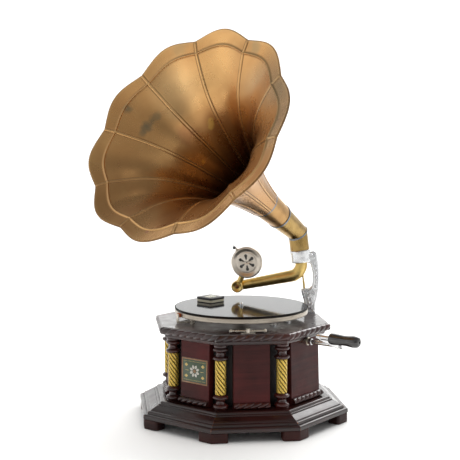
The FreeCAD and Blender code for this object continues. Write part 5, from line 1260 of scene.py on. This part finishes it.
def plate_holes(outer, holes, h0, h1):
    loops = [outer] + holes
    pts = [p for lp in loops for p in lp]
    tri = tessellate_polygon([[Vector((x, y, 0)) for x, y in lp] for lp in loops])
    n = len(pts)
    v = [(x, y, h0) for x, y in pts] + [(x, y, h1) for x, y in pts]
    f = [tuple(t) for t in tri] + [tuple(i + n for i in t[::-1]) for t in tri]
    s0 = 0
    for lp in loops:
        m_ = len(lp)
        for i in range(m_):
            a, b = s0 + i, s0 + (i + 1) % m_
            f.append((a, b, b + n, a + n))
        s0 += m_
    return v, f


outer = [(18.55 * math.cos(2 * math.pi * k / 96), 18.55 * math.sin(2 * math.pi * k / 96)) for k in range(96)]
holes = [[(1.0 * math.cos(2 * math.pi * k / 16), 1.0 * math.sin(2 * math.pi * k / 16)) for k in range(16)]]
for k in range(6):
    a = rad(31 + 60 * k)
    key = [(4.9, -0.6), (4.9, 0.6), (6.9, 1.1), (7.7, 1.75), (8.8, 2.05), (9.8, 1.8), (10.5, 2.0)] + [(13.1 + 3.2 * math.cos(rad(b)), 3.2 * math.sin(rad(b))) for b in range(125, -126, -25)]
    key += [(10.5, -2.0), (9.8, -1.8), (8.8, -2.05), (7.7, -1.75), (6.9, -1.1)]
    holes.append([(x * math.cos(a) - y * math.sin(a), x * math.sin(a) + y * math.cos(a)) for x, y in key])
v, f = plate_holes(outer, holes, 24.1, 25.3)
v = np.array(v)
v[:, 2] += 0.5 * np.clip(1 - np.hypot(v[:, 0], v[:, 1]) / 18.5, 0, 1)
build("box_grille", to_world(BX, v), f, M_BOX, "soundbox", ["soundbox_front"], "nickel", 30)
build("box_mica", *lathe([(0, 20.0), (27.4, 20.0), (27.6, 20.2), (27.4, 20.45), (26.0, 20.5), (0, 20.7)], 64, BX), M_MICA, "soundbox", ["diaphragm"], "mica", 40)
nd = np.array([math.cos(rad(NEEDLE)), math.sin(rad(NEEDLE)), 0.0])
nf = axis_frame(to_world(BX, [(0, 0, 20.8)])[0], nd @ BX[1], BX[1][2])
bar = [(0, 29.6), (4.2, 29.6), (4.4, 30.6), (3.6, 31.6), (2.4, 32.4), (1.9, 33.2), (1.75, 34.4), (2.3, 34.9), (2.3, 39.0), (2.0, 39.4), (0, 39.4)]
build("needle_holder", *lathe(bar, 32, nf), M_BOX, "soundbox", ["needle_bar"], "nickel", 35)
ns_ = (to_world(BX, [nd * 37.2 + np.array([0, 0, 20.8])])[0], BX[1])
thumb = Shape()
tp = [(0, 1.6), (1.2, 1.6), (1.2, 4.6), (2.9, 4.8), (3.2, 5.2), (3.2, 8.2), (2.9, 8.7), (0, 8.75)]
v, f = lathe(tp, 36, ns_)
loc_ = (v - ns_[0]) @ ns_[1].T
rr_ = np.hypot(loc_[:, 0], loc_[:, 1])
aa_ = np.arctan2(loc_[:, 1], loc_[:, 0])
kn_ = np.where(rr_ > 2.95, 1 - 0.05 * (np.arange(len(rr_)) % 2), 1.0)
loc_[:, 0] *= kn_
loc_[:, 1] *= kn_
thumb.add(to_world(ns_, loc_), f)
thumb.make("needle_thumb", M_GRIP, "soundbox", ["needle_screw"], "screw_steel", 30)
build("needle_point", *lathe([(0, 33.0), (0.85, 33.0), (0.9, 41.0), (0.7, 42.4), (0.3, 43.8), (0, 44.15)], 20, nf), M_BRIGHT, "soundbox", ["needle"], "steel", 35)

# ------------------------------------------------------------------ camera, floor and light
A, D, ZC, PITCH, YAW, F_PX = 37.251, 1922.4, 527.2, 5.287, 0.633, 1037.0
h, p = rad(A + YAW), rad(PITCH)
right = np.array([math.cos(h), math.sin(h), 0])
fwd = np.array([-math.sin(h) * math.cos(p), math.cos(h) * math.cos(p), -math.sin(p)])
upv = np.cross(right, fwd)
loc = np.array([math.sin(rad(A)) * D, -math.cos(rad(A)) * D, ZC]) * MM
cam = bpy.data.cameras.new("camera")
cam.sensor_width = 36.0
cam.sensor_fit = "HORIZONTAL"
cam.lens = F_PX / 460.0 * 36.0
cam.clip_end = 100
cam_ob = bpy.data.objects.new("camera", cam)
mw = Matrix.Identity(4)
for i in range(3):
    mw[i][0], mw[i][1], mw[i][2], mw[i][3] = right[i], upv[i], -fwd[i], loc[i]
cam_ob.matrix_world = mw
bpy.context.scene.collection.objects.link(cam_ob)
bpy.context.scene.camera = cam_ob

floor_m = Mat("floor")
fn = floor_m.noise(3.0, 2.0)
floor_m.set(color=floor_m.mix(fn, (0.835, 0.835, 0.829), (0.86, 0.86, 0.854)), rough=0.55, spec=0.3)
fme = bpy.data.meshes.new("floor")
# floor that sweeps up into a back wall, seen from the camera's side


def view_pt(r, d, z):
    # right of the picture, away from the camera, up; metres
    R = np.array([math.cos(rad(A)), math.sin(rad(A)), 0])
    Dv = np.array([-math.sin(rad(A)), math.cos(rad(A)), 0])
    q = R * r + Dv * d
    return (q[0], q[1], z)


prof = [(-4.5, 0.0), (-2.0, 0.0), (0.0, 0.0), (1.4, 0.0)] + [(1.4 + 1.3 * math.sin(rad(a)), 1.3 - 1.3 * math.cos(rad(a))) for a in range(6, 91, 6)] + [(2.7, 2.6), (2.7, 4.0)]
fv, ff = [], []
for d_, z_ in prof:
    for r_ in np.linspace(-4.0, 4.0, 9):
        fv.append(view_pt(r_, d_, z_ - 0.0002))
ff = grid_faces(len(prof), 9)
fme.from_pydata(fv, [], ff)
fme.shade_smooth()
fme.materials.append(floor_m.done())
floor = bpy.data.objects.new("floor", fme)
bpy.context.scene.collection.objects.link(floor)

world = bpy.data.worlds.new("studio")
bpy.context.scene.world = world
world.use_nodes = True
wt = world.node_tree
bg = wt.nodes["Background"]
wtc = wt.nodes.new("ShaderNodeTexCoord")
wsep = wt.nodes.new("ShaderNodeSeparateXYZ")
wmap = wt.nodes.new("ShaderNodeMapRange")
wramp = wt.nodes.new("ShaderNodeValToRGB")
wt.links.new(wtc.outputs["Generated"], wsep.inputs[0])
wt.links.new(wsep.outputs[2], wmap.inputs[0])
wmap.inputs[1].default_value, wmap.inputs[2].default_value = -0.2, 1.0
wt.links.new(wmap.outputs[0], wramp.inputs[0])
we = wramp.color_ramp.elements
for pos, val in ((0.0, 0.85), (0.16, 0.75), (0.33, 0.52), (0.58, 0.30), (0.83, 0.19), (1.0, 0.15)):
    e_ = we[0] if pos == 0.0 else we[1] if pos == 1.0 else we.new(pos)
    e_.position = pos
    e_.color = (val, val, val * 0.99, 1.0)
wt.links.new(wramp.outputs[0], bg.inputs[0])
# the room is dimmer on the side the front looks at than to the left and right
wdot = wt.nodes.new("ShaderNodeVectorMath")
wdot.operation = "DOT_PRODUCT"
wdot.inputs[1].default_value = (math.sin(rad(A)), -math.cos(rad(A)), 0.0)
wside = wt.nodes.new("ShaderNodeMapRange")
wt.links.new(wtc.outputs["Generated"], wdot.inputs[0])
wt.links.new(wdot.outputs["Value"], wside.inputs[0])
wside.inputs[1].default_value, wside.inputs[2].default_value = 0.68, 0.99
wside.inputs[3].default_value, wside.inputs[4].default_value = 1.38, 0.36
wt.links.new(wside.outputs[0], bg.inputs[1])


def area(name, at, look, size, power, color=(1, 1, 1)):
    d = bpy.data.lights.new(name, "AREA")
    d.shape = "RECTANGLE"
    d.size, d.size_y = size
    d.energy = power
    d.color = color
    o = bpy.data.objects.new(name, d)
    z = (Vector(at) - Vector(look)).normalized()
    o.rotation_mode = "QUATERNION"
    o.rotation_quaternion = z.to_track_quat("Z", "Y")
    o.location = at
    bpy.context.scene.collection.objects.link(o)
    return o


over = area("overhead", view_pt(0.0, -0.8, 2.8), view_pt(0, -0.2, 0.0), (3.0, 2.4), 68.0)
over.visible_glossy = False
back_l = area("back", view_pt(0.0, 0.7, 3.4), view_pt(0, 2.7, 1.0), (4.0, 1.0), 74.0)
back_l.visible_glossy = False
soft_r = area("soft_right", view_pt(1.05, 1.55, 1.65), view_pt(0, 0, 0.2), (1.6, 1.2), 24.0)
soft_l = area("soft_left", view_pt(-2.1, -0.55, 1.05), view_pt(0, 0, 0.55), (1.5, 0.9), 1.3)
for o in (over, back_l, soft_r, soft_l):
    o.visible_camera = False

bpy.context.scene.view_settings.view_transform = "Standard"
bpy.context.scene.view_settings.look = "None"

# ------------------------------------------------------------------ update
bpy.context.view_layer.update()
